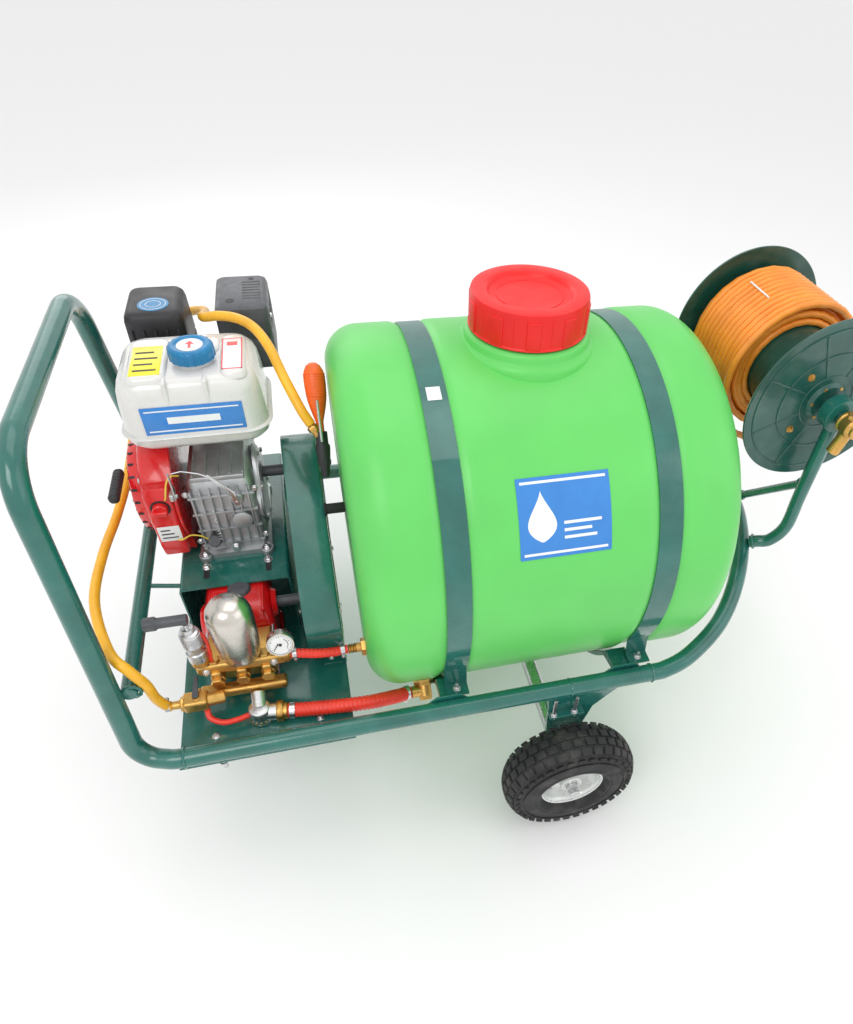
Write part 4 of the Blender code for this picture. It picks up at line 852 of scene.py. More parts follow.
    cleaner = Shape()
    ax, ay = -0.5495, 0.251
    stack(cleaner, [(ax, ay, 0.044, 0.0575, 0.012, 0.6905), (ax, ay, 0.047, 0.0605, 0.014, 0.693),
        (ax, ay, 0.0475, 0.061, 0.015, 0.72), (ax, ay, 0.046, 0.0595, 0.014, 0.7225),
        (ax, ay, 0.046, 0.0595, 0.014, 0.725), (ax, ay, 0.0475, 0.061, 0.016, 0.727),
        (ax, ay, 0.046, 0.059, 0.016, 0.785), (ax, ay, 0.044, 0.057, 0.015, 0.7935),
        (ax, ay, 0.0395, 0.0525, 0.013, 0.7985), (ax, ay, 0.034, 0.047, 0.01, 0.8)])
    for k in range(5):
        cleaner.box((ax - 0.036 + 0.018 * k - 0.002, ay - 0.0625, 0.735),
            (ax - 0.036 + 0.018 * k + 0.002, ay - 0.059, 0.775), 0.001, 2)
    cleaner.done("air_cleaner_box", BLACK, stands_for="air_cleaner")
    badge = Shape()
    badge.lathe([(0, 0.001), (0.0245, 0.001), (0.025, 0.0004), (0, 0)],
        (ax + 0.001, ay - 0.02, 0.7998), Z, 64)
    badge.done("air_cleaner_badge", CAP_BLUE)
    ring = Shape()
    for r0 in (0.02, 0.012):
        ring.sweep(circle(r0, 64, (ax + 0.001, ay - 0.02, 0.8008)), 0.0005, 6, caps=False)
    ring.done("air_cleaner_badge_ring", LABEL_WHITE)
    muffler = Shape()
    mx, my = -0.408, 0.2655
    stack(muffler, [(mx, my, 0.042, 0.0665, 0.012, 0.6885), (mx, my, 0.045, 0.0695, 0.013, 0.692),
        (mx, my, 0.045, 0.0695, 0.013, 0.742), (mx, my, 0.044, 0.0685, 0.012, 0.7435),
        (mx, my, 0.045, 0.0695, 0.013, 0.745), (mx, my, 0.0445, 0.069, 0.013, 0.79),
        (mx, my, 0.042, 0.0665, 0.012, 0.797), (mx, my, 0.037, 0.0615, 0.009, 0.8)])
    muffler.done("muffler_guard", GREY, stands_for="muffler")
    # The louvres are flat black bars and two black discs on the guard: painted shade standing in for the dark
    # inside its openings.
    louvre_shade = Shape()
    for k in range(7):
        louvre_shade.box((mx + 0.002, my - 0.03 + 0.011 * k - 0.0022, 0.7996),
            (mx + 0.033, my - 0.03 + 0.011 * k + 0.0022, 0.8003), 0.0003, 1)
        louvre_shade.box((mx + 0.0446, my - 0.045 + 0.014 * k - 0.003, 0.752),
            (mx + 0.0453, my - 0.045 + 0.014 * k + 0.003, 0.782), 0.0003, 1)
    louvre_shade.lathe([(0, 0.0006), (0.0075, 0.0006), (0.0075, 0), (0, 0)],
        (mx - 0.018, my - 0.036, 0.7998), Z, 32)
    louvre_shade.lathe([(0, 0.0006), (0.0045, 0.0006), (0.0045, 0), (0, 0)],
        (mx + 0.018, my + 0.05, 0.7998), Z, 24)
    louvre_shade.done("muffler_louvre_shade", BLACK)
    tail = Shape()
    tail.lathe([(0.0105, 0.0), (0.0105, 0.014), (0.0085, 0.014), (0.0085, 0.0)],
        (mx + 0.01, my + 0.0665, 0.715), Y, 32)
    for z in (0.705, 0.78):
        tail.bolt((mx + 0.045, my - 0.055, z), X, 0.0045, washer=False)
    tail.done("muffler_fittings", STEEL)

    make_crankcase()
    make_fan_side()


def make_crankcase():
    """Crankcase, finned barrel and head, carburettor and their fixings."""
    block = Shape()
    stack(block, [(-0.4825, 0.0625, 0.062, 0.092, 0.006, 0.4503),
        (-0.4825, 0.0625, 0.062, 0.092, 0.006, 0.46), (-0.4825, 0.0625, 0.056, 0.083, 0.01, 0.464),
        (-0.4825, 0.0625, 0.0545, 0.08, 0.012, 0.475), (-0.4825, 0.0625, 0.0545, 0.08, 0.014, 0.59),
        (-0.4825, 0.0625, 0.05, 0.076, 0.014, 0.608), (-0.4825, 0.0625, 0.042, 0.068, 0.012, 0.615)])
    for x in (-0.535, -0.43):
        for y in (-0.028, 0.15):
            block.lathe(boss(0.0115, 0.0105, 0.011, 0.01), (x, y, 0.4503), Z, 28)
    # ribs and seams on the pump side
    for k in range(7):
        x = -0.53 + 0.015 * k
        block.box((x - 0.0016, -0.0255, 0.47), (x + 0.0016, -0.0165, 0.598), 0.0012, 2)
    for k in range(5):
        x = -0.522 + 0.02 * k
        block.box((x - 0.0018, -0.008, 0.59), (x + 0.0018, 0.056, 0.6185), 0.0012, 2)
    block.box((-0.526, -0.014, 0.608), (-0.44, -0.005, 0.617), 0.002, 3)
    for z in (0.478, 0.512, 0.548, 0.583):
        block.box((-0.536, -0.0245, z - 0.0022), (-0.429, -0.0165, z + 0.0022), 0.0012, 2)
    for z, r in ((0.53, 0.017), (0.578, 0.011)):
        block.lathe(boss(r, r * 0.8, 0.014, 0.012), (-0.458, -0.017, z), (0, -1, 0), 36)
    # the drive side's cover, with its seam and bolts
    cover = [(0.0715 * c * (1.0 + 0.1 * math.cos(4 * a)), 0.0715 * s * (1.0 + 0.1 * math.cos(4 * a)))
        for a, c, s in around(72)]
    block.plate([(0.0625 + a, 0.538 + b) for a, b in cover], 0.006, (-0.4255, 0, 0), "X", 0.0015)
    block.plate([(0.0625 + a * 0.94, 0.538 + b * 0.94) for a, b in cover], 0.003, (-0.4218, 0, 0), "X", 0.001)
    block.lathe([(0.0125, 0.0), (0.0125, 0.0035), (0.02, 0.0035), (0.024, 0.0)],
        (-0.4215, SHAFT_Y, SHAFT_Z), X, 40)
    # barrel, head and rocker cover, tilted back
    barrel, tilt = (-0.482, SHAFT_Y, SHAFT_Z), Matrix.Rotation(math.radians(25), 3, "X")
    head = Shape(barrel, tilt)
    head.box((-0.04, 0.05, -0.038), (0.04, 0.196, 0.038), 0.008, 4)
    for k in range(10):
        y = 0.078 + 0.0088 * k
        head.box((-0.05, y - 0.0013, -0.046), (0.05, y + 0.0013, 0.046), 0.0012, 2)
    head.box((-0.047, 0.165, -0.043), (0.047, 0.185, 0.043), 0.003, 3)
    head.done("cylinder_head", CAST_ALU)
    rocker = Shape(barrel, tilt)
    rocker.box((-0.036, 0.1845, -0.03), (0.036, 0.2045, 0.03), 0.007, 5)
    rocker.done("rocker_cover", STEEL)
    screws = Shape(barrel, tilt)
    for x in (-0.04, 0.04):
        for z in (-0.036, 0.036):
            screws.bolt((x, 0.185, z), Y, 0.0055)
    screws.rod(0.006, (0.03, 0.15, 0.04), (0.03, 0.15, 0.056), 20)
    screws.bolt((0.03, 0.15, 0.05), Z, 0.01)
    screws.done("head_bolts", STEEL)
    boot = Shape(barrel, tilt)
    boot.rod(0.0085, (0.03, 0.15, 0.057), (0.03, 0.15, 0.082), 24, tip=0.007)
    boot.done("spark_plug_boot", BLACK)
    block.done("crankcase_casting", CAST_ALU, stands_for="engine_block")

    carb = Shape()
    carb.box((-0.56, 0.2, 0.606), (-0.53, 0.245, 0.636), 0.003)
    carb.rod(0.015, (-0.545, 0.222, 0.578), (-0.545, 0.222, 0.606), 36)
    carb.bolt((-0.545, 0.222, 0.578), (0, 0, -1), 0.005)
    carb.rod(0.012, (-0.545, 0.222, 0.634), (-0.545, 0.222, 0.689), 36)
    carb.box((-0.562, 0.198, 0.64), (-0.528, 0.248, 0.645), 0.001)
    carb.done("carburettor_body", CAST_ALU)

    fixings = Shape()
    for _, c, s in around(6, 0.5):
        fixings.bolt((-0.4203, 0.0625 + 0.064 * c, 0.538 + 0.064 * s), X, 0.005)
    for x in (-0.538, -0.427):
        for z in (0.486, 0.59):
            fixings.bolt((x, -0.019, z), (0, -1, 0), 0.0048)
    for x in (-0.535, -0.43):
        fixings.bolt((x, -0.028, 0.4613), Z, 0.0068, stud=0.003)
        fixings.bolt((x, 0.15, 0.4613), Z, 0.0068, stud=0.003)
    fixings.bolt((-0.48, -0.03, 0.472), (0, -1, 0), 0.0075)
    fixings.rod(0.003, (-0.458, -0.031, 0.578), (-0.458, -0.038, 0.578), 16)
    # governor arm, link and spring
    fixings.plate([(-0.4615, 0.571), (-0.4545, 0.571), (-0.4575, 0.6), (-0.491, 0.64), (-0.496, 0.638),
        (-0.464, 0.598)], 0.0018, (0, -0.0365, 0), "Y", 0.0003)
    fixings.sweep([(-0.494, -0.0375, 0.637), (-0.505, -0.035, 0.642), (-0.53, -0.03, 0.646),
        (-0.545, -0.034, 0.646)], 0.0011, 8)
    fixings.sweep([(-0.5 + 0.0026 * math.cos(a), -0.039 + 0.0026 * math.sin(a), 0.5 + 0.001 * a)
        for a in [k * 0.45 for k in range(150)]], 0.0006, 6)
    fixings.rod(0.0098, (-0.4215, SHAFT_Y, SHAFT_Z), (-0.39, SHAFT_Y, SHAFT_Z), 32)
    fixings.done("engine_fixings", STEEL)

    dip = Shape()
    dip.lathe([(0, 0.016), (0.0095, 0.016), (0.011, 0.014), (0.011, 0.004), (0.0085, 0), (0, 0)],
        (-0.512, -0.024, 0.488), (0, -0.8, 0.6), 12)
    dip.done("oil_filler_plug", GREY)


def make_fan_side():
    """Fan housing, recoil starter, stop switch, wires and throttle."""
    r, flat = 0.104, -0.1
    outline = arc(r, -38, 218, 80) + [(-0.078, flat + 0.012), (-0.07, flat), (0.07, flat),
        (0.078, flat + 0.012)]
    cover = Shape()
    levels = ((-0.5505, 1.0), (-0.593, 1.0), (-0.5985, 0.975), (-0.602, 0.93), (-0.603, 0.86))
    before = set(cover.bm.verts)
    rings = [cover.ring((x, SHAFT_Y + a * s, SHAFT_Z + b * s) for a, b in outline) for x, s in levels]
    cover.bridge(rings)
    cover.ends(rings[0], rings[-1])
    cover.settle(before, Matrix())
    cover.plate([(SHAFT_Y + a, SHAFT_Z + b) for a, b in arc(r + 0.0025, 0, 360, 96)][:-1], 0.003,
        (-0.553, 0, 0), "X", 0.0008)
    # the flat for the switch, on the pump side
    stack(cover, [(-0.577, -0.02, 0.0205, 0.015, 0.006, 0.478), (-0.577, -0.0225, 0.0215, 0.016, 0.006, 0.5),
        (-0.577, -0.0235, 0.0215, 0.016, 0.006, 0.606), (-0.577, -0.018, 0.019, 0.013, 0.006, 0.618)])
    cover.done("fan_housing", ENGINE_RED, stands_for="fan_cover")

    starter_at = (-0.603, SHAFT_Y, SHAFT_Z)
    starter = Shape(starter_at)
    starter.lathe([(0, -0.0003), (0.082, -0.0003), (0.0835, 0.002), (0.0825, 0.008), (0.08, 0.017),
        (0.077, 0.0195), (0.072, 0.0205), (0.034, 0.0235), (0.03, 0.0255), (0, 0.026)],
        axis=(-1, 0, 0), steps=96)
    starter.done("starter_case", ENGINE_RED, stands_for="recoil_starter")
    # The vents are black bars on the case face and rim: painted shade standing in for the dark inside the
    # vent slots.
    vent_shade = Shape(starter_at)
    for angle, _, _ in around(24):
        turn = Matrix.Rotation(angle, 3, "X")
        for inner, outer, tall in ((0.037, 0.052, 0.0228), (0.056, 0.0715, 0.0215)):
            mid = turn @ Vector((-tall, 0, (inner + outer) / 2))
            vent_shade.box(mid - Vector((0.0006, 0.0018, (outer - inner) / 2)),
                mid + Vector((0.0006, 0.0018, (outer - inner) / 2)), 0.0003, 1, turn)
        rim = turn @ Vector((-0.012, 0, 0.0818))
        vent_shade.box(rim - Vector((0.005, 0.002, 0.0007)), rim + Vector((0.005, 0.002, 0.0007)), 0.0003, 1, turn)
    vent_shade.done("starter_vent_shade", BLACK)
    screws = Shape(starter_at)
    for angle in (40, 140, 265):
        c, s = math.cos(math.radians(angle)), math.sin(math.radians(angle))
        screws.bolt((0.001, 0.09 * c, 0.09 * s), (-1, 0, 0), 0.0048)
    screws.bolt((-0.0258, 0, 0), (-1, 0, 0), 0.006)
    screws.done("starter_bolts", STEEL)

    grip = Shape()
    grip.box((-0.6475, -0.04, 0.601), (-0.631, 0.04, 0.617), 0.007, 6)
    for k in range(9):
        y = -0.032 + 0.008 * k
        grip.sweep(circle(0.008, 24, (-0.6393, y, 0.609), "Y"), 0.001, 6, caps=False)
    grip.done("starter_handle", BLACK, "starter_grip", "starter_grip")

    knob = Shape((-0.576, -0.0405, 0.585))
    knob.lathe([(0, 0.01), (0.01, 0.01), (0.0118, 0.0085), (0.0122, 0), (0, 0)], axis=(0, -1, 0), steps=36)
    knob.box((-0.012, -0.0175, -0.0035), (0.012, -0.008, 0.0035), 0.002, 4)
    knob.done("stop_knob", ENGINE_RED, "stop_switch", "stop_switch")
    # A flat black ring round the knob: painted shade of the hole it sits in.
    knob_gap_shade = Shape((-0.576, -0.0405, 0.585))
    knob_gap_shade.lathe([(0.0126, 0.0012), (0.015, 0.001), (0.0155, 0.0002), (0.0126, 0.0002)],
        axis=(0, -1, 0), steps=36)
    knob_gap_shade.done("stop_knob_gap_shade", BLACK)
    tag = Shape()
    tag.box((-0.5935, -0.0404, 0.513), (-0.5585, -0.0396, 0.545), 0.0003, 2)
    tag.done("fan_tag", LABEL_WHITE)
    bars = Shape()
    for k in range(3):
        bars.box((-0.589, -0.0407, 0.5195 + 0.008 * k), (-0.564 - 0.005 * k, -0.0404, 0.522 + 0.008 * k), 0)
    bars.done("fan_tag_bars", BLACK)
    wire = Shape()
    wire.sweep(smooth_path([(-0.5655, -0.0395, 0.6), (-0.564, -0.042, 0.603), (-0.562, -0.042, 0.608),
        (-0.56, -0.04, 0.616), (-0.556, -0.03, 0.628), (-0.548, -0.02, 0.632),
        (-0.54, -0.012, 0.625)], 8), 0.0013, 8)
    wire.sweep(smooth_path([(-0.566, -0.0415, 0.515), (-0.56, -0.043, 0.515), (-0.545, -0.04, 0.52),
        (-0.53, -0.036, 0.512), (-0.52, -0.032, 0.498), (-0.514, -0.026, 0.485),
        (-0.512, -0.02, 0.478)], 8), 0.0013, 8)
    wire.done("switch_wires", WIRE_YELLOW)

    lever = Shape()
    lever.plate([(-0.0445, 0.6005), (-0.0355, 0.6005), (-0.035, 0.612), (-0.0372, 0.63), (-0.0372, 0.651),
        (-0.0428, 0.651), (-0.0428, 0.63), (-0.045, 0.612)], 0.002, (-0.548, 0, 0), "X", 0.0004)
    lever.bolt((-0.547, -0.04, 0.606), X, 0.004)
    lever.done("throttle_arm", STEEL, "throttle_lever", "throttle_lever")
    post = Shape()
    post.box((-0.556, -0.046, 0.6), (-0.5495, -0.02, 0.612), 0.001)
    post.done("throttle_post", STEEL)


# ---------------------------------------------------------------- belt drive
def pulley(shape, radius, bore, hub):
    """A single-groove pulley's profile about +X, half its width each way."""
    half, groove = 0.012, 0.0075
    lip = radius + 0.0005
    shape.lathe([(0, half - 0.001), (bore, half - 0.001), (hub, half), (hub + 0.003, half - 0.006),
        (lip - 0.012, half - 0.006), (lip - 0.0095, half), (lip - 0.0015, half), (lip, half - 0.0015),
        (lip - 0.001, 0.0045), (lip - groove, 0.0026), (lip - groove, -0.0026), (lip - 0.001, -0.0045),
        (lip, -half + 0.0015), (lip - 0.0015, -half), (lip - 0.0095, -half), (lip - 0.012, -half + 0.006),
        (hub + 0.003, -half + 0.006), (hub, -half), (bore, -half + 0.001),
        (0, -half + 0.001)], axis=X, steps=96)


def loop(r_engine, r_pump, steps=48):
    """The outline round the two pulleys, across X, as (y, z)."""
    a, b = Vector((SHAFT_Y, SHAFT_Z)), Vector((PUMP_Y, PUMP_Z))
    away = b - a
    heading = math.degrees(math.atan2(away.y, away.x))
    lean = math.degrees(math.acos((r_engine - r_pump) / away.length))
    return (arc(r_pump, heading - lean, heading + lean, steps, tuple(b))
        + arc(r_engine, heading + lean, heading - lean + 360, steps, tuple(a)))


def make_drive():
    """The two pulleys, the belt and its guard."""
    for name, y, z, r, shaft_r, back in (("engine_pulley", SHAFT_Y, SHAFT_Z, 0.04, 0.01, -0.0695),
            ("pump_pulley", PUMP_Y, PUMP_Z, 0.084, 0.01, -0.0795)):
        wheel = Shape((PULLEY_X, y, z))
        pulley(wheel, r, shaft_r, shaft_r + 0.008)
        if name == "pump_pulley":
            for angle, _, _ in around(5):
                turn = Matrix.Rotation(angle, 3, "X")
                mid = turn @ Vector((0, 0, 0.046))
                wheel.box(mid - Vector((0.0085, 0.006, 0.03)),
                    mid + Vector((0.0085, 0.006, 0.03)), 0.002, 3, turn)
        wheel.rod(shaft_r, (back, 0, 0), (-0.01, 0, 0), 32)
        wheel.rod(shaft_r * 0.9, (0.01, 0, 0), (0.0155, 0, 0), 32)
        wheel.done(name + "_casting", GREY, name, name)
        nut = Shape((PULLEY_X, y, z))
        nut.bolt((0.013, 0, 0), X, 0.0095)
        nut.done(name + "_nut", STEEL, name)
    outer, inner = loop(0.043, 0.087), loop(0.0345, 0.0785)
    belt = Shape((PULLEY_X, 0, 0))
    rings = [belt.ring((half, y, z) for y, z in points)
        for points, half in ((outer, 0.0046), (outer, -0.0046), (inner, -0.0027), (inner, 0.0027))]
    belt.bridge(rings + rings[:1])
    belt.settle((), Matrix())
    belt.done("belt_loop", RUBBER, stands_for="v_belt")

    guard = Shape()
    wall, sheet, x0, x1 = loop(0.06, 0.1, 40), 0.002, -0.378, -0.318
    skin = loop(0.058, 0.098, 40)
    before = set(guard.bm.verts)
    soft = 0.0045
    levels = ((wall, x0), (wall, x1 - soft), (loop(0.06 - soft * 0.3, 0.1 - soft * 0.3, 40), x1 - soft * 0.3),
        (loop(0.06 - soft, 0.1 - soft, 40), x1), (loop(0.06 - 0.016, 0.1 - 0.016, 40), x1),
        (loop(0.06 - 0.018, 0.1 - 0.018, 40), x1 - 0.0012))
    rings = [guard.ring((x, y, z) for y, z in points) for points, x in levels]
    inside = [guard.ring((x, y, z) for y, z in skin) for x in (x0, x1 - sheet)]
    guard.bridge(rings)
    guard.bridge([inside[0], rings[0]])
    guard.bridge(inside)
    guard.ends(rings[-1], inside[1])
    guard.settle(before, Matrix())
    guard.box((-0.3215, -0.2, TRAY_TOP + GAP), (-0.3185, -0.06, 0.33), 0.0005)
    guard.box((-0.36, -0.2, TRAY_TOP + GAP), (-0.319, -0.06, TRAY_TOP + 0.003), 0.0008)
    guard.done("belt_guard_shell", FRAME_GREEN, stands_for="belt_guard")
    pad = Shape()
    pad.lathe([(0, 0.0352), (0.0075, 0.0352), (0.009, 0.033), (0.009, 0.004), (0.0115, 0.003), (0.0115, 0),
        (0, 0)], (-0.319, -0.06, 0.56), X, 32)
    pad.done("belt_guard_buffer", RUBBER)
    screws = Shape()
    for y, z in ((-0.165, 0.412), (-0.08, 0.335), (0.07, 0.598), (-0.01, 0.42), (0.108, 0.54)):
        screws.bolt((-0.319, y, z), X, 0.005)
    for y in (-0.185, -0.075):
        screws.bolt((-0.345, y, TRAY_TOP + 0.003), Z, 0.0055, stud=0.002)
    screws.done("belt_guard_bolts", STEEL)


# ---------------------------------------------------------------- pump
def make_pump():
    """Plunger pump: case, block, manifold, air dome, gauge, regulator, outlet and suction."""
    case = Shape()
    x0, x1, y0, y1, z0, z1 = -0.545, -0.43, -0.168, -0.06, 0.3108, 0.443
    cx, cy, hx, hy = (x0 + x1) / 2, (y0 + y1) / 2, (x1 - x0) / 2, (y1 - y0) / 2
    stack(case, [(cx, cy, hx + 0.004, hy + 0.004, 0.01, z0),
        (cx, cy, hx + 0.004, hy + 0.004, 0.01, z0 + 0.008), (cx, cy, hx, hy, 0.01, z0 + 0.012),
        (cx, cy, hx, hy, 0.012, 0.4), (cx, cy, hx - 0.003, hy - 0.004, 0.014, 0.424),
        (cx, cy, hx - 0.01, hy - 0.014, 0.016, 0.438), (cx, cy, hx - 0.018, hy - 0.024, 0.016, z1)])
    for k in range(5):
        x = x0 + 0.014 + 0.0218 * k
        case.box((x - 0.0014, y0 + 0.006, 0.425), (x + 0.0014, y1 - 0.012, 0.4425), 0.0008, 2)
    case.lathe([(0, 0.01), (0.03, 0.01), (0.034, 0.006), (0.036, 0), (0, 0)],
        (x0 + 0.002, PUMP_Y, PUMP_Z - 0.03), (-1, 0, 0), 48)
    case.lathe([(0.0115, 0.008), (0.022, 0.008), (0.026, 0), (0.0115, 0)],
        (x1 - 0.001, PUMP_Y, PUMP_Z), X, 48)
    case.done("pump_case", ENGINE_RED, stands_for="pump_crankcase")
    cap = Shape()
    cap.lathe([(0, 0.0085), (0.01, 0.0085), (0.0175, 0.007), (0.0195, 0.004), (0.02, 0), (0, 0)],
        (-0.482, -0.108, z1 - 0.001), Z, 40)
    cap.done("pump_oil_cap", GREY)

    head = Shape()
    head.box((-0.5385, -0.2222, 0.345), (-0.4365, -0.1683, 0.408), 0.003)
    for k in range(3):
        x = -0.528 + 0.04 * k
        head.lathe([(0, 0.06), (0.0175, 0.06), (0.0175, 0), (0, 0)], (x, -0.2235, 0.377), Y, 40)
    head.done("plunger_block", BRASS, stands_for="pump_head")
    glands = Shape()
    for k in range(3):
        x = -0.528 + 0.04 * k
        for y in (-0.176, -0.19):
            glands.lathe([(0.0178, 0.006), (0.0196, 0.005), (0.0196, 0.001), (0.0178, 0)],
                (x, y, 0.377), Y, 40)
    for x in (-0.5415, -0.4345):
        for z in (0.352, 0.401):
            glands.rod(0.003, (x, -0.245, z), (x, -0.16, z), 16)
            glands.bolt((x, -0.245, z), (0, -1, 0), 0.0055, stud=0.002)
    for x in (-0.55, -0.425):
        glands.bolt((x, -0.114, z0 + 0.01), Z, 0.0062)
    glands.done("pump_fixings", STEEL)

    body = Shape()
    body.box((-0.556, -0.245, 0.392), (-0.408, -0.2223, 0.414), 0.0045, 4)
    body.box((-0.56, -0.262, 0.346), (-0.42, -0.241, 0.364), 0.0045, 4)
    for x in (-0.528, -0.488, -0.448):
        body.box((x - 0.008, -0.25, 0.356), (x + 0.008, -0.228, 0.399), 0.0035, 4)
        body.rod(0.0115, (x, -0.247, 0.377), (x, -0.224, 0.377), 32)
        body.lathe(boss(0.0115, 0.0105, 0.006, 0.0048), (x, -0.25, 0.377), (0, -1, 0), 6)
        body.lathe(boss(0.0098, 0.009, 0.0055, 0.0045), (x, -0.234, 0.4135), Z, 6)
    # the tee pieces on top: to the air chamber, the regulator and the gauge
    body.rod(0.019, (-0.482, -0.2335, 0.408), (-0.482, -0.2335, 0.415), 6)
    body.rod(0.0095, (-0.418, -0.233, 0.412), (-0.418, -0.233, 0.419), 6)
    body.rod(0.006, (-0.418, -0.233, 0.418), (-0.418, -0.233, 0.426), 24)
    body.rod(0.0105, (-0.409, -0.235, 0.403), (-0.4062, -0.235, 0.403), 6)
    body.rod(0.0105, (-0.5595, -0.252, 0.355), (-0.57, -0.252, 0.355), 6)
    body.done("manifold_brass", BRASS, stands_for="pump_manifold")

    dome = Shape((-0.482, -0.2335, 0))
    dome.lathe([(0, 0.55), (0.009, 0.5495), (0.018, 0.547), (0.0265, 0.5415), (0.0325, 0.532), (0.0352, 0.52),
        (0.0358, 0.505), (0.035, 0.48), (0.0335, 0.455), (0.0315, 0.43), (0.029, 0.423), (0.024, 0.418),
        (0.018, 0.416), (0.018, 0.4145), (0, 0.4145)], steps=96)
    dome.done("air_dome", POLISHED, stands_for="air_chamber")

    dial_turn = facing(Vector((0, -0.97, 0.24)).normalized())
    gauge_at = (-0.418, -0.24, 0.4395)
    gauge = Shape(gauge_at, dial_turn)
    gauge.lathe([(0, -0.0125), (0.02, -0.0125), (0.0222, -0.01), (0.0225, 0.003), (0.0218, 0.0052),
        (0.0198, 0.0052), (0.019, 0.003), (0, 0.003)], steps=64)
    gauge.done("gauge_case", POLISHED, stands_for="pressure_gauge")
    face = Shape(gauge_at, dial_turn)
    face.lathe([(0, 0.0036), (0.0188, 0.0036), (0.0188, 0.0029), (0, 0.0029)], steps=64)
    face.done("gauge_face", DIAL_WHITE)
    marks = Shape(gauge_at, dial_turn)
    for k in range(21):
        angle = math.radians(225 - 270 * k / 20)
        inner = 0.014 if k % 5 == 0 else 0.0158
        marks.sweep([(inner * math.cos(angle), inner * math.sin(angle), 0.0037),
            (0.0178 * math.cos(angle), 0.0178 * math.sin(angle), 0.0037)], 0.0004, 6)
    marks.sweep([(0.012 * math.cos(math.radians(a)), 0.012 * math.sin(math.radians(a)), 0.0037)
        for a in range(-40, 60, 4)], 0.0005, 6)
    marks.done("gauge_marks", BLACK)
    pointer = Shape(gauge_at, dial_turn)
    lean = math.radians(130)
    pointer.sweep([(-0.004 * math.sin(lean), -0.004 * math.cos(lean), 0.005),
        (-0.0148 * math.sin(lean), 0.0148 * math.cos(lean), 0.005)], [0.0009, 0.0004], 8)
    pointer.lathe(boss(0.0024, 0.002, 0.002, 0.001), (0, 0, 0.004), Z, 24)
    pointer.done("gauge_pointer", BLACK, "gauge_needle", "gauge_needle")

    control = Shape((-0.5465, -0.2345, 0))
    control.lathe([(0, 0.513), (0.004, 0.513), (0.004, 0.505), (0.009, 0.5045), (0.01, 0.503), (0.01, 0.496),
        (0.014, 0.4945), (0.015, 0.4925), (0.015, 0.464), (0.0135, 0.462), (0.0135, 0.45), (0.0155, 0.448),
        (0.0155, 0.43), (0.0135, 0.4285), (0.012, 0.42), (0.012, 0.4145), (0, 0.4145)], steps=48)
    for k in range(10):
        control.sweep(circle(0.0151, 40, (0, 0, 0.4665 + 0.0026 * k)), 0.0007, 6, caps=False)
    control.done("regulator_body", STEEL, stands_for="regulator")
    hex_nut = Shape((-0.5465, -0.2345, 0))
    hex_nut.lathe([(0.0125, 0.4285), (0.016, 0.4275), (0.016, 0.4195), (0.0125, 0.4185)], steps=6)
    hex_nut.done("regulator_nut", BRASS)
    lever = Shape((-0.5465, -0.2345, 0.5235))
    lever.rod(0.0085, (0.006, 0, 0), (-0.039, 0, 0), 32)
    lever.lathe([(0, 0.04), (0.0085, 0.04), (0.0098, 0.0375), (0.01, 0.022), (0.0085, 0.019), (0, 0.019)],
        (-0.0172, 0, 0), (-1, 0, 0), 32)
    for _, c, s in around(8):
        lever.sweep([(-0.0395, 0.0098 * c, 0.0098 * s), (-0.056, 0.0096 * c, 0.0096 * s)], 0.0012, 6)
    lever.done("regulator_handle", GREY, "regulator_lever", "regulator_lever")

    cock = Shape()
    cock.box((-0.582, -0.29, 0.358), (-0.544, -0.263, 0.382), 0.004, 4)
    cock.rod(0.011, (-0.556, -0.2765, 0.37), (-0.52, -0.27, 0.364), 32)
    cock.rod(0.006, (-0.561, -0.2775, 0.38), (-0.561, -0.2775, 0.3842), 20)
    cock.lathe(boss(0.0125, 0.0115, 0.006, 0.0048), (-0.5805, -0.2772, 0.37), (-1, 0, 0), 6)
    cock.rod(0.007, (-0.584, -0.2772, 0.37), (-0.6, -0.2772, 0.37), 24)
    cock.done("outlet_cock", BRASS)
    handle = Shape()
    handle.plate([(-0.5655, -0.281), (-0.5565, -0.281), (-0.556, -0.274), (-0.558, -0.264), (-0.5575, -0.24),
        (-0.5592, -0.2382), (-0.5628, -0.2382), (-0.5645, -0.24), (-0.564, -0.264), (-0.566, -0.274)], 0.0035,
        (0, 0, 0.387), "Z", 0.0008)
    handle.bolt((-0.561, -0.2772, 0.3885), Z, 0.0034, washer=False)
    handle.done("outlet_cock_lever", GREY, "outlet_valve_lever", "outlet_valve_lever")

    elbow = Shape()
    ex, ey = -0.47, -0.29
    elbow.lathe([(0, 0.312), (0.017, 0.312), (0.0188, 0.314), (0.019, 0.338), (0.017, 0.343), (0.013, 0.345),
        (0, 0.3455)], (ex, ey, 0), Z, 56)
    elbow.rod(0.015, (ex, ey, 0.3285), (-0.44, -0.2935, 0.328), 40)
    elbow.rod(0.012, (ex, ey, 0.338), (-0.47, -0.2625, 0.35), 32)
    elbow.done("suction_bend", STEEL, stands_for="suction_elbow")
    union = Shape()
    union.lathe([(0, 0.011), (0.018, 0.011), (0.0192, 0.0095), (0.0192, 0.0015), (0.018, 0), (0, 0)],
        (-0.4425, -0.2932, 0.3281), Vector((0.045, -0.005, -0.0005)), 8)
    union.rod(0.014, (-0.433, -0.2942, 0.328), (-0.424, -0.2955, 0.328), 40)
    for _, c, s in around(16):
        union.sweep([(ex + 0.0191 * c, ey + 0.0191 * s, z) for z in (0.315, 0.324)], 0.0011, 6)
    union.done("suction_union", BRASS)


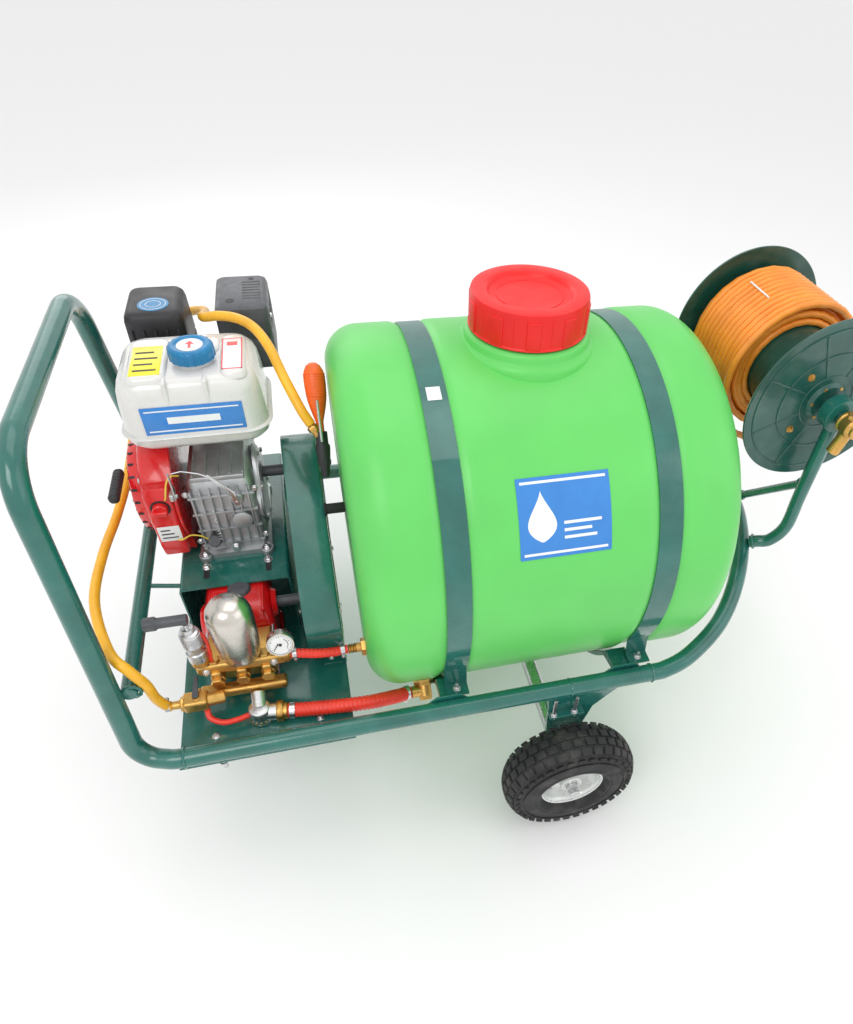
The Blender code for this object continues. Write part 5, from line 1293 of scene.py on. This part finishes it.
# ---------------------------------------------------------------- hoses
def clamp(shape, at, axis, radius, width=0.008):
    """A worm-drive band with its screw housing."""
    axis = Vector(axis).normalized()
    at = Vector(at)
    shape.lathe([(radius, width / 2), (radius + 0.0009, width / 2), (radius + 0.0009, -width / 2),
        (radius, -width / 2)], at, axis, 48)
    turn = facing(axis).to_3x3()
    spot = at + turn @ Vector((radius + 0.003, 0, 0))
    local = Matrix.Translation(spot) @ turn.to_4x4()
    shape.rod(0.0032, local @ Vector((0, -0.006, 0)), local @ Vector((0, 0.006, 0)), 20)
    shape.bolt(local @ Vector((0, 0.006, 0)), turn @ Vector((0, 1, 0)), 0.0036, washer=False)


def hose(name, route, radius, paint, node, per_span=10, ribs=0.0):
    """A hose along its route. Ribs are a spiral's rise over the plain wall."""
    step, pitch = 0.0022 if ribs else 0.006, 0.007
    path = even(smooth_path(route, per_span), step)
    radii = radius
    if ribs:
        radii = [radius - ribs * (0.5 - 0.5 * math.cos(2 * math.pi * k * step / pitch))
            for k in range(len(path))]
    made = Shape().sweep(path, radii, 28).done(name, paint, stands_for=node, sharp=75)
    return made, path


def make_hoses():
    """Suction, return and delivery hoses with their clamps, and the pump's short pipes."""
    down = Vector(SUMP_WAY)
    barb = Vector((-0.187, 0, TANK_Z)) + (TANK_R + 0.0006) * down + 0.02 * down
    sump = barb + Vector((-0.0255, 0, 0))
    route = [(-0.4245, -0.2955, 0.328), (-0.418, -0.2962, 0.3277), (-0.36, -0.302, 0.3265),
        (-0.29, -0.302, 0.32), (-0.24, -0.278, 0.288), sump - Vector((0.008, 0, 0)), sump]
    made, path = hose("suction_pipe", route, 0.013, HOSE_RED, "suction_hose", 10, 0.0016)
    clamps = Shape()
    clamp(clamps, path[3], path[3] - path[2], 0.0132, 0.009)
    clamp(clamps, path[-5], path[-4] - path[-5], 0.0132, 0.009)

    route = [(-0.4072, -0.235, 0.403), (-0.4, -0.235, 0.403), (-0.365, -0.236, 0.394),
        (-0.335, -0.233, 0.387), (-0.3215, -0.23, 0.385), (-0.3135, -0.23, 0.385)]
    path = hose("return_pipe", route, 0.0085, HOSE_RED, "return_hose", 10, 0.001)[1]
    clamp(clamps, path[3], path[3] - path[2], 0.0087, 0.007)
    clamp(clamps, path[-5], path[-4] - path[-5], 0.0087, 0.007)

    root, inlet = Vector(GUN_ROOT), Vector(GUN_INLET).normalized()
    route = [(-0.6006, -0.2772, 0.37), (-0.606, -0.2772, 0.37), (-0.6145, -0.283, 0.405),
        (-0.615, -0.29, 0.45), (-0.627, -0.29, 0.488), (-0.655, -0.257, 0.502), (-0.688, -0.15, 0.502),
        (-0.69, -0.04, 0.5), (-0.678, 0.06, 0.502), (-0.662, 0.15, 0.524), (-0.644, 0.24, 0.575),
        (-0.618, 0.325, 0.64), (-0.58, 0.364, 0.69), (-0.528, 0.368, 0.718), (-0.488, 0.334, 0.738),
        (-0.478, 0.28, 0.756), (-0.476, 0.23, 0.775), (-0.466, 0.199, 0.788), (-0.445, 0.184, 0.796),
        (-0.415, 0.163, 0.8), (-0.388, 0.127, 0.8), (-0.367, 0.08, 0.789), (-0.35, 0.036, 0.757),
        root + 0.052 * inlet, root + 0.0305 * inlet]
    made, path = hose("delivery_pipe", route, 0.008, HOSE_YELLOW, "delivery_hose", 12)
    clamp(clamps, path[1], path[1] - path[0], 0.0082, 0.007)
    clamps.done("hose_clamps", STEEL)

    # short lengths on the pump: the outlet's bypass, the drain stub and the thin line by the regulator
    bypass = Shape()
    bypass.sweep(smooth_path([(-0.552, -0.276, 0.356), (-0.552, -0.278, 0.345), (-0.548, -0.29, 0.336),
        (-0.528, -0.3, 0.332), (-0.505, -0.298, 0.331), (-0.492, -0.294, 0.3305),
        (-0.486, -0.2925, 0.33)], 8), 0.0048, 16)
    bypass.sweep(smooth_path([(-0.53, -0.2345, 0.414), (-0.53, -0.2345, 0.42), (-0.5275, -0.234, 0.442),
        (-0.528, -0.232, 0.47), (-0.533, -0.233, 0.488), (-0.536, -0.234, 0.49)], 8), 0.003, 14)
    bypass.done("bypass_pipes", HOSE_RED)


# ---------------------------------------------------------------- spray gun
def make_gun():
    """The spray gun that hangs by the belt guard."""
    root, up, inlet = Vector(GUN_ROOT), Vector(GUN_UP).normalized(), Vector(GUN_INLET).normalized()
    turn = facing(up).to_3x3()
    body = Shape(root, turn)
    body.lathe([(0, 0.014), (0.009, 0.014), (0.01, 0.0128), (0.01, -0.006), (0.0118, -0.0085),
        (0.012, -0.012), (0.0102, -0.03), (0.0098, -0.04), (0.0078, -0.043), (0.007, -0.056),
        (0.0044, -0.0595), (0.004, -0.06), (0, -0.06)], steps=40)
    for _, c, s in around(10):
        body.sweep([(0.0101 * c, 0.0101 * s, -0.032), (0.0098 * c, 0.0098 * s, -0.0395)], 0.0009, 6)
    body.done("gun_valve_body", BLACK, stands_for="spray_gun")
    grip = Shape(root, turn)
    grip.lathe([(0, 0.122), (0.0055, 0.1212), (0.011, 0.117), (0.0152, 0.109), (0.0168, 0.101),
        (0.0171, 0.088), (0.0162, 0.074), (0.015, 0.063), (0.0126, 0.052), (0.0102, 0.043), (0.0078, 0.035),
        (0.0062, 0.029), (0.006, 0.012), (0, 0.012)], steps=40)
    for k in range(9):
        z = 0.07 + 0.0042 * k
        r = 0.0158 + 0.001 * k / 8
        grip.sweep(circle(r, 40, (0, 0, z)), 0.0009, 6, caps=False)
    grip.done("gun_handle", GUN_ORANGE)
    brass = Shape()
    brass.rod(0.0068, root + 0.006 * inlet, root + 0.03 * inlet, 32)
    brass.lathe([(0.0066, 0.0085), (0.0092, 0.008), (0.0098, 0.0068), (0.0098, 0.0012), (0.0092, 0),
        (0.0066, 0)], root + 0.019 * inlet, inlet, 6)
    brass.done("gun_inlet_nut", BRASS)
    pivot = root + turn @ Vector((0, -0.0165, 0))
    lever_turn = turn @ Matrix.Rotation(math.radians(TRIGGER_OPEN), 3, "X")
    trigger = Shape(pivot, lever_turn)
    trigger.sweep([(0, 0.0002, -0.0015), (0, 0.0002, 0.01), (0, -0.0001, 0.03), (0, 0.0, 0.052),
        (0, 0.0001, 0.0655)], [0.0022, 0.0024, 0.0023, 0.0022, 0.0019], 16)
    trigger.done("gun_lever", STEEL, "gun_trigger", "gun_trigger")


# ---------------------------------------------------------------- hose reel
def make_reel():
    """Posts, drum, swivel, crank and the wound hose."""
    for side, name in SIDES:
        path = smooth_path([(0.4935, side * 0.1545, 0.4285), (0.504, side * 0.162, 0.4345),
            (0.522, side * 0.173, 0.446), (0.538, side * 0.18, 0.485), (0.536, side * 0.18, 0.56),
            (0.534, side * 0.18, 0.678), (0.534, side * 0.18, 0.72)], 10)
        arm = Shape().sweep(path, 0.012, 32)
        arm.lathe([(0.0295, 0.012), (0.03, 0.0115), (0.03, -0.0115), (0.0295, -0.012), (0.0132, -0.012),
            (0.0132, 0.012)], (REEL_X, side * 0.18, REEL_Z), Y, 56)
        arm.rod(0.008, (0.53, side * 0.034, 0.444), (0.536, side * 0.176, 0.588), 28)
        bead(arm, (0.5355, side * 0.171, 0.583), (0.006, side * 0.142, 0.144), 0.0085, 0.0022)
        bead(arm, (0.5305, side * 0.04, 0.45), (0.006, side * 0.142, 0.144), 0.0085, 0.0022)
        bead(arm, (0.498, side * 0.1575, 0.431), (0.0105, side * 0.0075, 0.006), 0.0125, 0.0026)
        arm.done("reel_post_" + name, FRAME_GREEN, stands_for="reel_arm_" + name)

    hub = (REEL_X, 0, REEL_Z)
    drum = Shape(hub)
    drum.rod(0.0125, (0, -0.2, 0), (0, 0.2, 0), 40)
    for side in (-1, 1):
        y = side * FLANGE_Y
        drum.lathe([(0.0128, y - 0.0015), (FLANGE_R - 0.003, y - 0.0015), (FLANGE_R - 0.001, y - 0.0022),
            (FLANGE_R, y), (FLANGE_R - 0.001, y + 0.0022), (FLANGE_R - 0.003, y + 0.0015),
            (0.0128, y + 0.0015)], axis=Y, steps=128)
        face = y + side * 0.0015
        for r, thick in ((0.132, 0.0016), (0.088, 0.0018), (0.048, 0.0016)):
            drum.sweep(circle(r, 96, (0, face, 0), "Y"), thick, 8, caps=False)
        for _, c, s in around(8, 0.5):
            drum.sweep([(0.05 * c, face, 0.05 * s), (0.086 * c, face, 0.086 * s)], 0.0018, 8)
            drum.sweep([(0.09 * c, face, 0.09 * s), (0.13 * c, face, 0.13 * s)], 0.0018, 8)
        drum.lathe([(0.0128, 0.006), (0.03, 0.006), (0.034, 0.002), (0.036, 0.0), (0.0128, 0.0)],
            (0, face, 0), (0, side, 0), 56)
    for _, c, s in around(4, 0.5):
        drum.rod(0.006, (0.07 * c, -FLANGE_Y, 0.07 * s), (0.07 * c, FLANGE_Y, 0.07 * s), 24)
    drum.done("drum_pressing", REEL_GREEN, "reel", "reel_drum", sharp=40)
    studs = Shape(hub)
    for side in (-1, 1):
        face = side * (FLANGE_Y + 0.0015)
        for _, c, s in around(4, 0.5):
            studs.bolt((0.07 * c, face, 0.07 * s), (0, side, 0), 0.0055, stud=0.002)
        for _, c, s in around(6):
            studs.bolt((0.03 * c, face + side * 0.0045, 0.03 * s), (0, side, 0), 0.0036, washer=False)
    studs.done("drum_bolts", BRASS, "reel")
    core = Shape(hub)
    core.lathe([(0.0765, 0.14), (0.078, 0.14), (0.078, -0.14), (0.0765, -0.14)], axis=Y, steps=96)
    core.done("drum_core", REEL_GREEN, "reel")

    swivel = Shape(hub)
    swivel.lathe([(0, 0.2005), (0.0165, 0.2005), (0.0185, 0.202), (0.019, 0.205), (0.0175, 0.207),
        (0.0175, 0.21), (0.019, 0.212), (0.019, 0.227), (0.0165, 0.23), (0.014, 0.232), (0.014, 0.2365),
        (0.0125, 0.238), (0, 0.238)], axis=(0, -1, 0), steps=48)
    spout = Vector((-0.014, 0, -0.05))
    swivel.rod(0.0105, (0, -0.218, 0), Vector((0, -0.218, 0)) + spout, 36)
    for share in (0.62, 0.7, 0.78, 0.86, 0.94):
        at = Vector((0, -0.218, 0)) + spout * share
        turn = facing(spout).to_3x3()
        swivel.sweep([at + turn @ Vector(p) for p in circle(0.0106, 32)], 0.0006, 6, caps=False)
    swivel.lathe(boss(0.0135, 0.0125, 0.006, 0.0045), (0, -0.218, 0.015), Z, 6)
    swivel.done("swivel_brass", BRASS, stands_for="reel_swivel")

    crank_r = 0.112
    crank = Shape(hub)
    outline = arc(0.018, 0, 180, 20) + [(-0.01, -crank_r)] + arc(0.012, 190, 350, 16,
        (0, -crank_r)) + [(0.01, -crank_r)]
    crank.plate(outline, 0.006, (0, 0.2035, 0), "Y", 0.001)
    crank.rod(0.004, (0, 0.2055, -crank_r), (0, 0.2885, -crank_r), 24)
    crank.bolt((0, 0.2065, 0), Y, 0.01)
    crank.done("crank_bar", STEEL, "reel", "reel_crank")
    knob = Shape((REEL_X, 0.2065, REEL_Z - crank_r))
    knob.lathe([(0.0046, 0.078), (0.0095, 0.078), (0.0118, 0.0762), (0.013, 0.07), (0.0124, 0.048),
        (0.0116, 0.025), (0.0122, 0.011), (0.014, 0.005), (0.0138, 0.0024), (0.013, 0.002),
        (0.0046, 0.002)], axis=Y, steps=48)
    knob.done("crank_knob", BLACK, "crank_grip", "crank_grip")

    # the hose: even layers wound to and fro, then a short free end
    hose_r, centre = 0.0062, Vector((REEL_X, 0, REEL_Z))
    y_low, y_high, first, layers, turns = -0.028, 0.1275, 0.0855, 4, 12
    points, per_turn = [], 24
    for layer in range(layers):
        r = first + 0.0112 * layer
        for k in range(turns * per_turn):
            share = k / (turns * per_turn)
            y = y_low + (y_high - y_low) * (share if layer % 2 == 0 else 1 - share)
            angle = 2 * math.pi * (layer * turns + k / per_turn)
            ease = min(1.0, k / per_turn) if layer else 1.0
            wobble = 0.0003 * math.sin(angle * 0.37 + layer)
            points.append(centre + Vector(((r - 0.0112 * (1 - ease)) * math.cos(angle), y + wobble,
                (r - 0.0112 * (1 - ease)) * math.sin(angle))))
    r = first + 0.0112 * (layers - 1)
    last_turn = [(r + 0.0015 * k / 18, y_low - 0.0006 * k) for k in range(1, 11)]
    for k, (radius, y) in enumerate(last_turn, 1):
        angle = 2 * math.pi * k / per_turn
        points.append(centre + Vector((radius * math.cos(angle), y, radius * math.sin(angle))))
    lead = [points[-2], points[-1], centre + Vector((-0.1225, -0.0365, 0.025)),
        centre + Vector((-0.127, -0.0385, -0.015)), centre + Vector((-0.12, -0.04, -0.06)),
        centre + Vector((-0.1, -0.04, -0.1)), centre + Vector((-0.072, -0.039, -0.127)),
        centre + Vector((-0.04, -0.038, -0.14))]
    tail = smooth_path(lead, 6)
    points += tail[1:]
    wound = Shape().sweep(points, hose_r, 16).done("wound_hose", HOSE_ORANGE, "reel", "reel_hose", sharp=80)
    ferrule = Shape()
    end, heading = points[-1], (points[-1] - points[-2]).normalized()
    ferrule.rod(0.0074, end - heading * 0.014, end + heading * 0.004, 32)
    ferrule.lathe([(0, 0.012), (0.0084, 0.012), (0.0092, 0.0108), (0.0092, 0.0012), (0.0084, 0), (0, 0)],
        end + heading * 0.004, heading, 6)
    ferrule.rod(0.006, end + heading * 0.015, end + heading * 0.026, 28)
    fitting = ferrule.done("reel_hose_connector", BRASS, "reel")
    tie = Shape(hub)
    for angle in (math.radians(118), math.radians(-30)):
        c, s = math.cos(angle), math.sin(angle)
        outer = 0.1262
        tie.sweep([(0.0795 * c, 0.02, 0.0795 * s), (outer * c, 0.02, outer * s), (outer * c, 0.05, outer * s),
            (outer * c, 0.082, outer * s), (0.0795 * c, 0.082, 0.0795 * s)], 0.0016, 10)
    tie.done("hose_ties", NYLON, "reel")


# ---------------------------------------------------------------- the scene
make_frame()
make_wheels()
make_caster()
make_tank()
make_engine()
make_drive()
make_pump()
make_hoses()
make_gun()
make_reel()


# ---------------------------------------------------------------- floor, light and camera
def plain(name, colour, roughness=0.6):
    made = bpy.data.materials.new(name)
    made.use_nodes = True
    shader = made.node_tree.nodes["Principled BSDF"]
    shader.inputs["Base Color"].default_value = (*colour, 1.0)
    shader.inputs["Roughness"].default_value = roughness
    return made


def add_stage():
    floor = bpy.data.meshes.new("floor")
    floor.from_pydata([(-40, -40, 0), (40, -40, 0), (40, 40, 0), (-40, 40, 0)], [], [(0, 1, 2, 3)])
    floor.materials.append(plain("floor_white", (0.92, 0.92, 0.92), 0.75))
    ground = bpy.data.objects.new("floor", floor)
    bpy.context.scene.collection.objects.link(ground)
    world = bpy.data.worlds.new("pale")
    world.use_nodes = True
    world.node_tree.nodes["Background"].inputs["Color"].default_value = (1.0, 1.0, 1.0, 1.0)
    world.node_tree.nodes["Background"].inputs["Strength"].default_value = 0.92
    bpy.context.scene.world = world
    for name, place, size, watts, colour in (("key", (-1.6, -2.2, 3.2), 1.6, 30, (1.0, 0.99, 0.97)),
            ("fill", (2.6, -1.8, 2.2), 2.4, 12, (0.97, 0.98, 1.0)),
            ("top", (0.1, 0.5, 3.4), 2.2, 16, (1.0, 1.0, 1.0)),
            ("back", (-0.8, 2.8, 2.0), 1.8, 10, (1.0, 1.0, 1.0))):
        lamp = bpy.data.lights.new(name, "AREA")
        lamp.size, lamp.energy, lamp.color = size, watts, colour
        made = bpy.data.objects.new(name, lamp)
        made.location = place
        made.rotation_euler = (Vector((0, 0, 0.4)) - Vector(place)).to_track_quat("-Z", "Y").to_euler()
        bpy.context.scene.collection.objects.link(made)


def add_camera():
    place, ahead, right = Vector((-0.297, -0.995, 1.347)), Vector((0.208, 0.664,
        -0.719)), Vector((0.968, -0.244, 0.055))
    ahead.normalize()
    right = (right - ahead * right.dot(ahead)).normalized()
    up = right.cross(ahead)
    lens = bpy.data.cameras.new("camera")
    lens.sensor_width, lens.lens = 36.0, 24.25
    lens.shift_x, lens.shift_y = -0.0669, 0.0615
    camera = bpy.data.objects.new("camera", lens)
    camera.matrix_world = Matrix.Translation(place) @ Matrix((right, up, -ahead)).transposed().to_4x4()
    bpy.context.scene.collection.objects.link(camera)
    bpy.context.scene.camera = camera


add_stage()
add_camera()
bpy.context.scene.view_settings.view_transform = "Standard"
